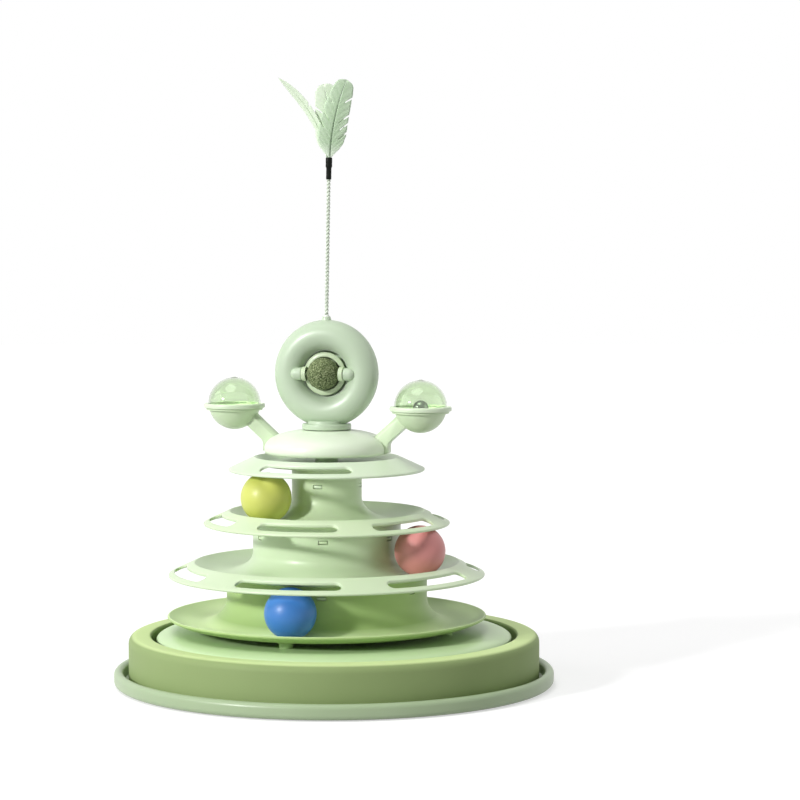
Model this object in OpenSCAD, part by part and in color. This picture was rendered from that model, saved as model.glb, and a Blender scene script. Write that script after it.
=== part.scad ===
// Ball track tower for a cat: three tiers of balls on a round base, a turning head and a feather wand.
// Millimetres. +Z is up, the front is -Y, and the origin is the middle of the base on the floor.

/* [Base] */
// Outer radius of the tray's rolled rim
rim_out_r = 174.6; // [168:0.2:190]
// Width of the rolled rim
rim_w = 7.6; // [6:0.2:9]
// Height of the rolled rim
rim_h = 12; // [10:0.5:15]
// Thickness of the tray's floor
tray_t = 2.5; // [2:0.1:4]
// How far the rubber pads stand out under the tray
pad_proud = 0.8; // [0.5:0.1:2]
// Radius of one rubber pad
pad_r = 9; // [6:0.5:12]
// Gap between the rolled rim and the ring
rim_gap = 4; // [2:0.2:6]
// Width of the ring, from its outer to its inner wall
ring_w = 18; // [14:0.5:24]
// Height of the ring above the tray's floor
ring_h = 36.7; // [30:0.5:44]
// Radius of the ring's outer top edge
ring_round = 7; // [4:0.5:9]
// Wall of the ring
ring_wall = 2.6; // [2:0.1:3.5]
// Groove between the ring and the platform
deck_gap = 4; // [2:0.2:6]
// Height of the platform above the tray's floor
deck_h = 39.2; // [34:0.5:46]
// Width of the platform's rounded shoulder
deck_shoulder_w = 20; // [12:0.5:26]
// Drop of the platform's rounded shoulder
deck_shoulder_h = 6; // [4:0.5:9]
// Wall of the platform
deck_wall = 3; // [2.4:0.1:4]
// How far the tower stands to the right of the base's middle
tower_x = -5.8; // [-10:0.2:10]

/* [Tower] */
// Radius of one ball
ball_r = 20; // [18:0.2:22]
// Wall of one ball
ball_wall = 1.6; // [1.2:0.1:2.5]
// Wall of the tracks
wall = 2.2; // [1.8:0.1:2.8]
// Height of the tower's feet
foot_h = 3.6; // [2:0.2:6]
// Radius of one foot of the tower
foot_r = 5.6; // [4:0.2:8]
// Radius of the circle that the feet stand on
foot_ring_r = 98; // [94:0.5:104]
// Outer radius of the bottom tier's column
tray_col_r = 79.5; // [74:0.5:86]
// How much slimmer the lower track's column is than the bottom one
lower_step = 20.8; // [19:0.2:24]
// How much slimmer the middle track's column is than the lower one
middle_step = 30.9; // [28:0.2:33]
// Room between the ball and the column on the bottom tier
tray_side_room = 1.8; // [1.4:0.1:3]
// Room between the ball and the column on the lower track
lower_side_room = 5.3; // [4.5:0.1:6]
// Room between the ball and the column on the middle track
middle_side_room = 8.4; // [7:0.1:9]
// Height of the flare at the foot of the bottom tier's column
tray_flare_h = 20; // [16:0.5:22]
// Height of the flare at the foot of the lower track's column
lower_flare_h = 15; // [13:0.5:18]
// Height of the flare at the foot of the middle track's column
middle_flare_h = 18; // [14:0.5:20]
// Room between the top of a ball and the level of the next track's floor
step_room = 0.75; // [0.5:0.05:3]
// Room between the top ball and the level of the top plate's floor
top_room = 5.1; // [4:0.1:8]
// Width of the bottom tier's floor outside the ball's middle
lip_w = 23.5; // [22:0.5:28]
// Height of the bottom tier's lip above its floor
lip_h = 5.9; // [5:0.1:8]
// Width of a track's floor outside the ball's middle
channel_w = 20.8; // [20:0.2:24]
// Height of a track's crest above its floor
crest_h = 7.4; // [6.6:0.1:9]
// Width of the sloping brim outside the crest
brim_w = 20.6; // [18:0.2:24]
// Slope of the brim, in degrees
brim_slope = 24; // [20:0.5:27]
// Rounding of the crest
crest_round = 1.6; // [1:0.1:2.4]
// Width of the slots in the brim
slot_w = 10; // [7:0.2:12]
// Width of the brim that is left outside the slots
slot_land = 4.6; // [3.5:0.1:6]
// Number of slots in the lower and in the middle track's brim
slot_count = 6; // [4:1:7]
// Length of those slots, as an angle
slot_span = 42; // [30:1:44]
// Number of slots in the top plate's brim
top_slot_count = 2; // [1:1:3]
// Length of the top plate's slots, as an angle
top_slot_span = 64; // [40:1:80]
// How far the slots are turned from the front
slot_turn = -15.5; // [-30:0.5:30]

/* [Latches] */
// Width of a latch window
window_w = 7.5; // [6:0.1:10]
// Height of a latch window
window_h = 3.2; // [2.6:0.1:4]
// Depth of a window below the top of the bottom and lower columns
window_drop = 10; // [9:0.5:12]
// Depth of a window below the top of the middle column
top_window_drop = 15; // [12:0.5:16]
// Number of latches between two tiers
latch_count = 6; // [3:1:6]
// Number of latches under the top plate
top_latch_count = 4; // [2:1:4]

/* [Top plate and spindle] */
// How far the top plate's crest lies outside the middle track's ball path
top_crest_more = 1; // [0:0.2:4]
// Depth of the top plate's recess below its crest
recess_h = 5; // [4:0.2:6]
// Width of the sloping wall between the recess and the crest
recess_w = 7; // [5:0.5:9]
// Radius of the boss that holds the spindle
boss_r = 9; // [8:0.5:11]
// Height of that boss above the recess
boss_h = 4; // [3:0.2:5]
// Depth of that boss below the plate
boss_depth = 12; // [8:0.5:16]
// Radius of the spindle that the head turns on
spindle_r = 4; // [3:0.1:5]
// Running clearance of every turning fit
run_gap = 0.05; // [0.03:0.01:0.08]
// Thickness of the thrust washer
washer_t = 1; // [0.8:0.1:1.5]

/* [Head] */
// How far the head is turned from the front
head_turn = -17; // [-30:1:30]
// Radius of the dome
dome_r = 49.4; // [46:0.2:52]
// Height of the dome above its widest place
dome_h = 16.6; // [14:0.2:20]
// Height of the dome below its widest place
dome_skirt = 2.7; // [2:0.1:4]
// Wall of the dome and of the cups
shell_t = 2.2; // [1.8:0.1:2.8]
// Height of the dome's lower edge above the top plate's recess
dome_lift = 7.3; // [6.6:0.1:9]
// Thickness of the chassis plate
chassis_t = 2.5; // [2:0.1:3.2]
// Slope of the arms, in degrees
arm_slope = 42; // [39:0.5:45]
// Height of an arm's section
arm_w = 11.5; // [10:0.1:13]
// Thickness of an arm's section
arm_d = 11; // [9:0.2:13]
// Size of the bevel along an arm's upper edges
arm_bevel = 2.6; // [1.5:0.1:3.2]
// Distance from the turning axis to the middle of a cup
cup_reach = 77; // [75:0.2:80]
// Height of the middle of a cup above the dome's lower edge
cup_lift = 38.2; // [37:0.2:40]
// Outer radius of a cup's bowl
cup_r = 20.6; // [19.6:0.1:22]
// Outer radius of a cup's ring
cup_ring_r = 24.4; // [24:0.1:26]
// Height of a cup's ring
cup_ring_h = 3.6; // [3.2:0.1:4.5]
// Outer radius of a clear dome
clear_r = 21; // [20.4:0.1:21.4]
// Wall of a clear dome
clear_t = 1.2; // [1:0.1:1.6]
// Radius of the bell
bell_r = 6.2; // [5:0.1:7]
// Wall of the bell
bell_t = 0.6; // [0.5:0.05:0.9]
// Depth of a cup's floor below the middle of the cup
cup_floor_drop = 7.4; // [7:0.1:9]

/* [Donut] */
// Outer radius of the donut
donut_r = 42.4; // [40:0.2:45]
// Radius of the hole in the donut
donut_hole_r = 18; // [17.8:0.1:18.6]
// Wall of the donut
donut_t = 2.4; // [2:0.1:3]
// Height of the donut's middle above the top of the dome
donut_lift = 44; // [43.8:0.1:44.4]
// Radius of the flange under the donut
flange_r = 19.5; // [18:0.2:22]
// Height of that flange
flange_h = 4.3; // [3.6:0.1:5]
// Radius of the neck on the flange
neck_r = 14.7; // [14:0.1:16]
// Height of the neck on the flange
neck_h = 2.4; // [1.5:0.1:3]
// Radius of the catnip ball
catnip_r = 13.1; // [12.4:0.1:13.4]
// Outer radius of the cover behind the catnip ball
cover_r = 16.4; // [15.8:0.1:16.6]
// Wall of that cover
cover_t = 1.8; // [1.4:0.1:2.2]
// How far the catnip ball's axis lies in front of the donut's middle
catnip_front = 9.5; // [9:0.1:10.5]
// Radius of the pegs that the cover turns on
peg_r = 3; // [2.4:0.1:3.4]
// Radius of the bosses that hold the pegs
peg_boss_r = 5; // [4.6:0.1:5.4]

/* [Wand] */
// Radius of the wand's wire
wire_r = 1.6; // [1.2:0.05:1.8]
// Length of the wire from its ball end to the ferrule's lower end
wire_l = 109; // [95:1:125]
// Lean of the wand at rest, in degrees
wand_lean = 1; // [0:0.1:2]
// Radius of the wire's ball end
wand_ball_r = 2.8; // [2.6:0.05:3]
// Outer radius of the collar that the ball end sits in
collar_r = 3.8; // [3.7:0.05:4.2]
// How far the collar stands out of the donut
collar_h = 3.2; // [2.8:0.1:4]
// Length of the ferrule's slim lower part
ferrule_low_l = 9.6; // [7:0.2:12]
// Radius of the ferrule's slim lower part
ferrule_low_r = 2.1; // [2:0.05:2.4]
// Length of the ferrule's upper part
ferrule_top_l = 7.6; // [6:0.2:10]
// Radius of the ferrule's upper part
ferrule_top_r = 2.6; // [2.5:0.05:3]
// Height of the tallest feather above the ferrule
feather_l = 62; // [50:1:75]
// Thickness of a feather
feather_t = 0.9; // [0.7:0.05:1.2]

/* [Hidden] */
$fn = 72;
arc_steps = 9;
half_turn = 180;
over = 1;
fit_gap = 0.1;
rest_gap = 0.05;
base_color = "#a9c27e";
mint_color = "#cfe3c0";
deck_color = "#cdebb8";

// Base: levels and radii
tray_z = pad_proud + tray_t;
ring_out_r = rim_out_r - rim_w - rim_gap;
ring_in_r = ring_out_r - ring_w;
ring_z = tray_z + ring_h;
ring_inner_round = 2.5;
ring_top_half_w = ring_w / 2;
deck_r = ring_in_r - deck_gap;
deck_z = tray_z + deck_h;
deck_skirt_h = 9;
deck_post_r = 6;
deck_post_in = 34;
deck_post_ring_r = deck_r - deck_post_in;
ring_post_r = 5;
ring_post_ring_r = ring_out_r - ring_w / 2;
base_post_count = 6;
base_screw_r = 1.8;
base_screw_head_r = 3.6;
base_screw_head_h = 1.9;
base_screw_l = 16;
pad_in = 36;
pad_ring_r = rim_out_r - pad_in;
pad_depth = 0.7;
pad_count = 6;

// Tower: radii of the columns, ball paths, crests and brims
lower_col_r = tray_col_r - lower_step;
middle_col_r = lower_col_r - middle_step;
tray_orbit_r = tray_col_r + ball_r + tray_side_room;
lower_orbit_r = lower_col_r + ball_r + lower_side_room;
middle_orbit_r = middle_col_r + ball_r + middle_side_room;
lip_r = tray_orbit_r + lip_w;
lower_crest_r = lower_orbit_r + channel_w;
middle_crest_r = middle_orbit_r + channel_w;
top_crest_r = middle_orbit_r + top_crest_more;

// Tower: levels
foot_boss_h = 1;
foot_boss_r = foot_r + foot_boss_h;
tray_floor_z = deck_z + foot_h + foot_boss_h + wall;
pitch = 2 * ball_r + step_room;
lower_floor_z = tray_floor_z + pitch;
middle_floor_z = lower_floor_z + pitch;
top_floor_z = middle_floor_z + 2 * ball_r + top_room;
crest_start_share = 0.92;
foot_count = 4;
foot_turn = -18.5;
tower_screw_r = 1.5;
tower_screw_head_r = 3;
tower_screw_head_h = 1.6;

// Tower: balls, at the angles where they stand, and the gap that the tracks' flat facets need
blue_turn = -105.9;
pink_turn = -30.3;
yellow_turn = -147.5;
ball_gap = 0.12;

// Latches
spigot_t = 1.8;
spigot_more = 4;
hook_short = 0.5;
window_turn = -3;
top_window_turn = -15;

// Head: levels, counted from the lower edge of the dome
dome_z = top_floor_z + dome_lift;
dome_wide_z = dome_z + dome_skirt;
dome_top_z = dome_wide_z + dome_h;
dome_power = 2.5;
chassis_in = 0.4;
chassis_r = dome_r - shell_t - chassis_in;
chassis_gap = 0.3;
chassis_z = dome_z + chassis_gap;
hub_r = boss_r;
washer_z = top_floor_z + boss_h;
hub_z = washer_z + washer_t;
hub_h = 11;
keeper_h = 1.2;
keeper_r = 6.5;
keeper_gap = 0.1;
head_screw_r = 1.3;
head_screw_head_r = 2.4;
head_screw_head_h = 1.1;
head_screw_l = 9;
dome_boss_r = 3.4;
dome_boss_ring_r = 30;
dome_boss_count = 3;
dome_boss_turn = 90;
dome_boss_share = 0.78;

// Arms and cups, in the plane of an arm
arm_root_in = 13;
arm_root_r = dome_r - arm_root_in;
arm_start_in = 4.9;
arm_start_r = dome_r - arm_start_in;
arm_start_h = 10.5;
arm_start_z = dome_z + arm_start_h;
arm_foot_out = 2.1;
arm_foot_r = dome_r + arm_foot_out;
arm_foot_h = 1.2;
arm_foot_z = dome_z + arm_foot_h;
arm_fillet = 6;
arm_notch_gap = 0.25;
cup_z = dome_z + cup_lift;
ring_top_h = 0.3;
ring_low_z = cup_z - cup_ring_h + ring_top_h;
ring_side_t = 1.9;
ring_bore_r = cup_ring_r - ring_side_t;
ring_lip_t = 0.9;
clear_flange_t = 0.9;
clear_flange_r = ring_bore_r - fit_gap;
clear_base_z = ring_low_z + cup_ring_h - ring_lip_t - clear_flange_t;
spigot_r = ring_bore_r - fit_gap;
bowl_rim_t = 1.8;
bowl_rim_in = 1.8;
bowl_rim_r = cup_ring_r - bowl_rim_in;
cup_wall = 2;
cup_in_r = cup_r - cup_wall;
arm_end_l = (cup_reach - arm_start_r) * cos(arm_slope) + (cup_z - arm_start_z) * sin(arm_slope)
    - cup_in_r / 2;
cup_floor_t = 1.5;
cup_floor_z = cup_z - cup_floor_drop;
bell_slot_w = 1.3;
bell_slot_share = 0.8;
bell_slot_low_share = 0.85;
pellet_r = 1.7;

// Donut, in its own frame: its axis is local Z, towards the front
donut_z = dome_top_z + donut_lift;
tube_w = (donut_r - donut_hole_r) / 2;
tube_mid_r = donut_hole_r + tube_w;
donut_half_t = tube_w;
flange_top_z = dome_top_z + flange_h;
peg_in = 0.4;
peg_boss_gap = 1;
peg_boss_in_r = cover_r + peg_boss_gap;
peg_boss_l = 4;
peg_l = 5.5;
cover_cut = 4;
ear_r = 5.6;
ear_out_r = peg_boss_in_r - peg_in;
pin_r = 1.5;
pin_l = 4;
foot_spigot_r = 5;
foot_screw_r = 2;
foot_screw_head_r = 4;
foot_screw_head_h = 2;
foot_screw_l = 14;
foot_screw_z = dome_top_z - shell_t;
foot_screw_tip_gap = 0.5;
foot_screw_tip_z = foot_screw_z + foot_screw_l - foot_screw_head_h;
foot_screw_boss_r = 4.6;
foot_screw_boss_h = 9;
donut_boss_r = 3;
donut_screw_count = 3;

// Wand, in its own frame: the origin is the middle of its ball end
collar_top_z = donut_z + donut_r + collar_h;
wand_ball_drop = 1.7;
wand_z = collar_top_z - wand_ball_drop;
collar_flange_r = 5;
collar_flange_t = 1.4;
collar_flange_drop = 5.2;
sway = 25;
ferrule_l = ferrule_low_l + ferrule_top_l;
ferrule_seat = 7;
quill_sink = 3;
feather_steps = 14;
bare_quill_share = 0.12;
front_half_w = 9.6;
back_half_w = 12.6;
side_half_w = 6.5;
// Where each feather starts, as shares of the ferrule's radius, and where its bend and its tip lie, as
// shares of the feathers' height
front_root_share = [0.192, -0.346, 0];
front_bend_share = [0.0081, -0.0484, 0.56];
front_tip_share = [0.2823, -0.0806, 0.97];
back_root_share = [-0.115, 0.346, 0];
back_bend_share = [-0.0403, 0.0484, 0.56];
back_tip_share = [0.0242, 0.0645, 0.95];
side_root_share = [-0.5, -0.038, 0];
side_bend_share = [-0.0968, 0, 0.55];
side_tip_share = [-0.6613, 0.0161, 1];

// Points of an elliptic arc, its first point included
function arc(cx, cz, rx, rz, from, to) =
    [for (i = [0:arc_steps]) let (a = from + (to - from) * i / arc_steps)
        [cx + rx * cos(a), cz + rz * sin(a)]];

// The same arc without its first point, to follow on from another
function arc_on(cx, cz, rx, rz, from, to) =
    [for (i = [1:arc_steps]) let (a = from + (to - from) * i / arc_steps)
        [cx + rx * cos(a), cz + rz * sin(a)]];

// Places on a circle
module around(count, r, turn) {
    for (i = [0:count - 1]) {
        rotate([0, 0, turn + 2 * half_turn * i / count]) {
            translate([r, 0, 0]) children();
        }
    }
}

// A cylinder between two levels
module post(r, low, high) {
    translate([0, 0, low]) cylinder(r = r, h = high - low);
}

// A flat ring between two levels
module band(out_r, in_r, low, high) {
    difference() {
        post(out_r, low, high);
        post(in_r, low - over, high + over);
    }
}

// A pan-head screw that points up, with its head's top face at z = 0 and its shank above it
module screw_up(r, head_r, head_h, l) {
    translate([0, 0, -head_h]) cylinder(r = head_r, h = head_h);
    cylinder(r = r, h = l);
}

// Moves to the axis of the tower
module tower() {
    translate([tower_x, 0, 0]) children();
}

// Moves to the axis of the tower and turns with the head
module head() {
    tower() rotate([0, 0, head_turn]) children();
}

module base_tray() {
    mid_r = rim_out_r - rim_w / 2;
    color(mint_color) difference() {
        union() {
            post(mid_r, pad_proud, tray_z);
            rotate_extrude() {
                polygon(concat(
                    arc(mid_r, pad_proud + rim_w / 2, rim_w / 2, rim_w / 2, -half_turn, 0),
                    arc(mid_r, pad_proud + rim_h - rim_w / 2, rim_w / 2, rim_w / 2, 0, half_turn)));
            }
        }
        around(pad_count, pad_ring_r, half_turn / pad_count) {
            post(pad_r, -over, pad_proud + pad_depth);
        }
        around(base_post_count, deck_post_ring_r, 0) post(base_screw_r, 0, tray_z + over);
        around(base_post_count, ring_post_ring_r, 0) post(base_screw_r, 0, tray_z + over);
    }
}

module base_pads() {
    color("#5f6b57") around(pad_count, pad_ring_r, half_turn / pad_count) {
        post(pad_r, 0, pad_proud + pad_depth);
    }
}

module base_ring() {
    outer = concat(
        [[ring_in_r, tray_z], [ring_out_r, tray_z]],
        arc(ring_out_r - ring_round, ring_z - ring_round, ring_round, ring_round, 0, half_turn / 2),
        arc(ring_in_r + ring_inner_round, ring_z - ring_inner_round, ring_inner_round,
            ring_inner_round, half_turn / 2, half_turn));
    color(base_color) difference() {
        union() {
            difference() {
                rotate_extrude() polygon(outer);
                band(ring_out_r - ring_wall, ring_in_r + ring_wall, tray_z - over,
                    ring_z - ring_round);
            }
            around(base_post_count, ring_post_ring_r, 0) post(ring_post_r, tray_z, ring_z - ring_wall);
        }
        around(base_post_count, ring_post_ring_r, 0) {
            post(base_screw_r, tray_z - over, tray_z + base_screw_l);
        }
    }
}

module platform_disc() {
    skirt_z = deck_z - deck_shoulder_h - deck_skirt_h;
    under_z = deck_z - deck_wall;
    in_r = deck_r - deck_wall;
    color(deck_color) difference() {
        union() {
            rotate_extrude() {
                polygon(concat(
                    [[0, under_z], [0, deck_z]],
                    arc(deck_r - deck_shoulder_w, deck_z - deck_shoulder_h, deck_shoulder_w,
                        deck_shoulder_h, half_turn / 2, 0),
                    [[deck_r, skirt_z], [in_r, skirt_z]],
                    arc(deck_r - deck_shoulder_w, under_z - deck_shoulder_h,
                        deck_shoulder_w - deck_wall, deck_shoulder_h, 0, half_turn / 2)));
            }
            around(base_post_count, deck_post_ring_r, 0) post(deck_post_r, tray_z, under_z + over);
        }
        around(base_post_count, deck_post_ring_r, 0) {
            post(base_screw_r, tray_z - over, tray_z + base_screw_l);
        }
        tower() around(foot_count, foot_ring_r, foot_turn) {
            post(tower_screw_r, under_z - over, deck_z + over);
        }
    }
}

module base_screws() {
    color("silver") {
        around(base_post_count, deck_post_ring_r, 0) base_screw();
        around(base_post_count, ring_post_ring_r, 0) base_screw();
    }
}

// A screw of the base, flush in the tray's floor
module base_screw() {
    translate([0, 0, pad_proud]) cylinder(r = base_screw_r, h = tray_t + base_screw_l - over);
}

module tower_feet() {
    color("#b9c7a6") tower() around(foot_count, foot_ring_r, foot_turn) {
        difference() {
            post(foot_r, deck_z, deck_z + foot_h);
            post(tower_screw_r, deck_z - over, deck_z + foot_h + over);
        }
    }
}

module tower_screws() {
    color("silver") tower() around(foot_count, foot_ring_r, foot_turn) {
        translate([0, 0, deck_z - deck_wall]) {
            screw_up(tower_screw_r, tower_screw_head_r, tower_screw_head_h,
                deck_wall + foot_h + foot_boss_h);
        }
    }
}

// The rounded corner between a rising floor and the falling brim: slopes a and b, radius r
function crest(cx, cz, a, b, r) =
    let (n = [-sin(a) + sin(b), cos(a) + cos(b)], k = r / (1 + cos(a + b)))
    arc(cx - k * n[0], cz - k * n[1], r, r, half_turn / 2 + a, half_turn / 2 - b);

// The sharp corner below a crest, one wall thickness under it
function under_crest(cx, cz, a, b) =
    let (n = [-sin(a) + sin(b), cos(a) + cos(b)], k = wall / (1 + cos(a + b)))
    [[cx - k * n[0], cz - k * n[1]]];

// The round outer edge of a brim, from its top to its underside
function brim_edge(crest_r, crest_z) =
    let (r = crest_r + brim_w - wall / 2,
        z = crest_z - brim_w * tan(brim_slope) - wall / 2)
    arc(r, z, wall / 2, wall / 2, half_turn / 2 - brim_slope, -half_turn / 2 - brim_slope);

// The wall of a track: column, flare, floor, crest and brim
function track_outline(col_r, orbit_r, floor_z, flare_h, top_z) =
    let (rise = crest_h, dish = (channel_w * channel_w + rise * rise) / (2 * rise),
        a = asin(channel_w / dish), short = a * crest_start_share, low = -half_turn / 2,
        crest_r = orbit_r + channel_w, crest_z = floor_z + rise)
    concat(
        [[col_r, top_z]],
        arc(orbit_r, floor_z + flare_h, orbit_r - col_r, flare_h, -half_turn, low),
        arc_on(orbit_r, floor_z + dish, dish, dish, low, low + short),
        crest(crest_r, crest_z, a, brim_slope, crest_round),
        brim_edge(crest_r, crest_z),
        under_crest(crest_r, crest_z, a, brim_slope),
        arc(orbit_r, floor_z + dish, dish + wall, dish + wall, low + short, low),
        arc_on(orbit_r, floor_z + flare_h, orbit_r - col_r + wall, flare_h + wall, low, -half_turn),
        [[col_r - wall, top_z]]);

// One slot outline, from the middle of its span, round at both ends
function slot_outline(in_r, span) =
    let (end_r = slot_w / 2, mid_r = in_r + end_r, half = span / 2 - asin(end_r / mid_r))
    concat(
        arc(0, 0, in_r + slot_w, in_r + slot_w, -half, half),
        [for (p = arc_on(0, 0, end_r, end_r, 0, half_turn))
            [mid_r * cos(half) + p[0] * cos(half) - p[1] * sin(half),
                mid_r * sin(half) + p[0] * sin(half) + p[1] * cos(half)]],
        arc_on(0, 0, in_r, in_r, half, -half),
        [for (i = [1:arc_steps - 1]) let (a = half_turn + half_turn * i / arc_steps)
            [mid_r * cos(half) + end_r * cos(a - half), -mid_r * sin(half) + end_r * sin(a - half)]]);

// Cutters for the slots of a brim with this outer radius
module slots(brim_r, low, count, span) {
    around(count, 0, slot_turn - half_turn / 2) {
        translate([0, 0, low]) {
            linear_extrude(height = crest_h + brim_w) {
                polygon(slot_outline(brim_r - slot_land - slot_w, span));
            }
        }
    }
}

// Cutters for the latch windows of a column
module windows(col_r, z, count, turn) {
    around(count, col_r - wall / 2, turn - half_turn / 2) {
        translate([-wall, -window_w / 2, z - window_h / 2]) cube([2 * wall, window_w, window_h]);
    }
}

// The skirt of a tier inside the column below, with a hook in each window
module spigot(col_r, under_z, drop, count, turn) {
    out_r = col_r - wall - fit_gap;
    hook_w = window_w - 2 * hook_short;
    hook_h = window_h - 2 * hook_short;
    band(out_r, out_r - spigot_t, under_z - drop - spigot_more, under_z + wall / 2);
    around(count, out_r, turn - half_turn / 2) {
        translate([-spigot_t / 2, -hook_w / 2, under_z - drop - hook_h / 2]) {
            cube([spigot_t / 2 + wall - fit_gap, hook_w, hook_h]);
        }
    }
}

module track_tray() {
    dish = (lip_w * lip_w + lip_h * lip_h) / (2 * lip_h);
    a = asin(lip_w / dish);
    low = -half_turn / 2;
    top_z = lower_floor_z - wall;
    wide = tray_orbit_r - tray_col_r;
    edge_r = lip_r - wall / 2 * (1 - sin(a));
    color(mint_color) tower() difference() {
        union() {
            rotate_extrude() {
                polygon(concat(
                    [[tray_col_r, top_z]],
                    arc(tray_orbit_r, tray_floor_z + tray_flare_h, wide, tray_flare_h, -half_turn, low),
                    arc_on(tray_orbit_r, tray_floor_z + dish, dish, dish, low, low + a),
                    arc_on(lip_r + wall / 2 * sin(a), tray_floor_z + lip_h - wall / 2 * cos(a),
                        wall / 2, wall / 2, half_turn / 2 + a, a - half_turn / 2),
                    arc_on(tray_orbit_r, tray_floor_z + dish, dish + wall, dish + wall, low + a, low),
                    arc_on(tray_orbit_r, tray_floor_z + tray_flare_h, wide + wall,
                        tray_flare_h + wall, low, -half_turn),
                    [[tray_col_r - wall, top_z]]));
            }
            around(foot_count, foot_ring_r, foot_turn) {
                post(foot_boss_r, tray_floor_z - wall - foot_boss_h, tray_floor_z - wall / 2);
            }
        }
        windows(tray_col_r, top_z - window_drop, latch_count, window_turn);
        around(foot_count, foot_ring_r, foot_turn) {
            post(tower_screw_r, tray_floor_z - wall - 2 * foot_boss_h, tray_floor_z - wall);
        }
    }
}

module track_lower() {
    color(mint_color) tower() difference() {
        union() {
            rotate_extrude() {
                polygon(track_outline(lower_col_r, lower_orbit_r, lower_floor_z, lower_flare_h,
                    middle_floor_z - wall));
            }
            spigot(tray_col_r, lower_floor_z - wall, window_drop, latch_count, window_turn);
        }
        slots(lower_crest_r + brim_w, lower_floor_z - wall, slot_count, slot_span);
        windows(lower_col_r, middle_floor_z - wall - window_drop, latch_count, window_turn);
    }
}

module track_middle() {
    color(mint_color) tower() difference() {
        union() {
            rotate_extrude() {
                polygon(track_outline(middle_col_r, middle_orbit_r, middle_floor_z, middle_flare_h,
                    top_floor_z - wall));
            }
            spigot(lower_col_r, middle_floor_z - wall, window_drop, latch_count, window_turn);
        }
        slots(middle_crest_r + brim_w, middle_floor_z - wall, slot_count, slot_span);
        windows(middle_col_r, top_floor_z - wall - top_window_drop, top_latch_count, top_window_turn);
    }
}

module track_top() {
    a = atan(recess_h / recess_w);
    crest_z = top_floor_z + recess_h;
    under_z = top_floor_z - wall;
    color(mint_color) tower() difference() {
        union() {
            rotate_extrude() {
                polygon(concat(
                    [[spindle_r, under_z - boss_depth], [boss_r, under_z - boss_depth],
                        [boss_r, under_z], [top_crest_r - recess_w, under_z]],
                    under_crest(top_crest_r, crest_z, a, brim_slope),
                    [for (i = [arc_steps:-1:0]) brim_edge(top_crest_r, crest_z)[i]],
                    [for (i = [arc_steps:-1:0]) crest(top_crest_r, crest_z, a, brim_slope, crest_round)[i]],
                    [[top_crest_r - recess_w, top_floor_z], [boss_r, top_floor_z],
                        [boss_r, washer_z], [spindle_r, washer_z]]));
            }
            spigot(middle_col_r, under_z, top_window_drop, top_latch_count, top_window_turn);
        }
        slots(top_crest_r + brim_w, under_z - brim_w, top_slot_count, top_slot_span);
    }
}

// The spindle that the head turns on, held in the boss of the top plate
module spindle() {
    color("silver") tower() post(spindle_r, top_floor_z - wall - boss_depth, hub_z + hub_h + keeper_gap);
}

module thrust_washer() {
    color("white") tower() band(hub_r, spindle_r, washer_z, hub_z);
}

// The cap on the spindle that keeps the head down
module spindle_keeper() {
    low = hub_z + hub_h + keeper_gap;
    color("silver") tower() post(keeper_r, low, low + keeper_h);
}

module head_chassis() {
    color(mint_color) head() difference() {
        union() {
            post(chassis_r, chassis_z, chassis_z + chassis_t);
            post(hub_r, hub_z, hub_z + hub_h);
        }
        post(spindle_r + run_gap, top_floor_z, hub_z + hub_h + over);
        post(boss_r + 2 * over, top_floor_z, hub_z);
        around(dome_boss_count, dome_boss_ring_r, dome_boss_turn) {
            post(head_screw_r, dome_z, dome_z + 2 * chassis_t);
        }
        around(2, arm_root_r + arm_d / 2, 0) post(head_screw_r, dome_z, dome_z + 2 * chassis_t);
    }
}

// The outline of the dome, thinner by t
function dome_outline(t) =
    [for (i = [0:2 * arc_steps]) let (a = half_turn / 2 * i / (2 * arc_steps))
        [(dome_r - t) * pow(cos(a), 2 / dome_power),
            dome_wide_z + (dome_h - t) * pow(sin(a), 2 / dome_power)]];

module head_dome() {
    boss_z = chassis_z + chassis_t;
    boss_top_z = dome_wide_z + dome_h * dome_boss_share;
    color(mint_color) head() difference() {
        union() {
            rotate_extrude() {
                polygon(concat(
                    [[dome_r - shell_t, dome_z], [dome_r - shell_t / 2, dome_z]],
                    [for (p = dome_outline(0)) [p[0], p[1]]],
                    [for (i = [2 * arc_steps:-1:0]) dome_outline(shell_t)[i]]));
            }
            around(dome_boss_count, dome_boss_ring_r, dome_boss_turn) {
                post(dome_boss_r, boss_z, boss_top_z);
            }
        }
        post(foot_spigot_r, dome_wide_z, dome_top_z + over);
        around(dome_boss_count, dome_boss_ring_r, dome_boss_turn) {
            post(head_screw_r, dome_z, chassis_z + head_screw_l);
        }
        around(2, 0, 0) arm_bar(arm_notch_gap);
    }
}

// The side view of an arm, from its root in the dome to its end in the cup, larger all round by g
function arm_outline(g) =
    let (c = cos(arm_slope), s = sin(arm_slope), h = arm_w / 2 + g,
        low_z = arm_start_z - h * c, low_r = arm_start_r + h * s,
        foot_r = arm_foot_r + g, knee_z = low_z + (foot_r - low_r) * tan(arm_slope),
        bend = arm_fillet * tan((half_turn / 2 - arm_slope) / 2),
        end_r = arm_start_r + arm_end_l * c, end_z = arm_start_z + arm_end_l * s,
        plate_z = chassis_z + chassis_t - g)
    concat(
        [[arm_root_r - g, plate_z], [chassis_r + chassis_gap - g, plate_z],
            [chassis_r + chassis_gap - g, arm_foot_z - g], [foot_r, arm_foot_z - g]],
        arc(foot_r + arm_fillet, knee_z - bend, arm_fillet, arm_fillet, half_turn,
            half_turn / 2 + arm_slope),
        [[end_r + h * s, end_z - h * c], [end_r - h * s, end_z + h * c],
            [arm_start_r - h * s, arm_start_z + h * c], [arm_root_r - g, arm_start_z - g]]);

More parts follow.
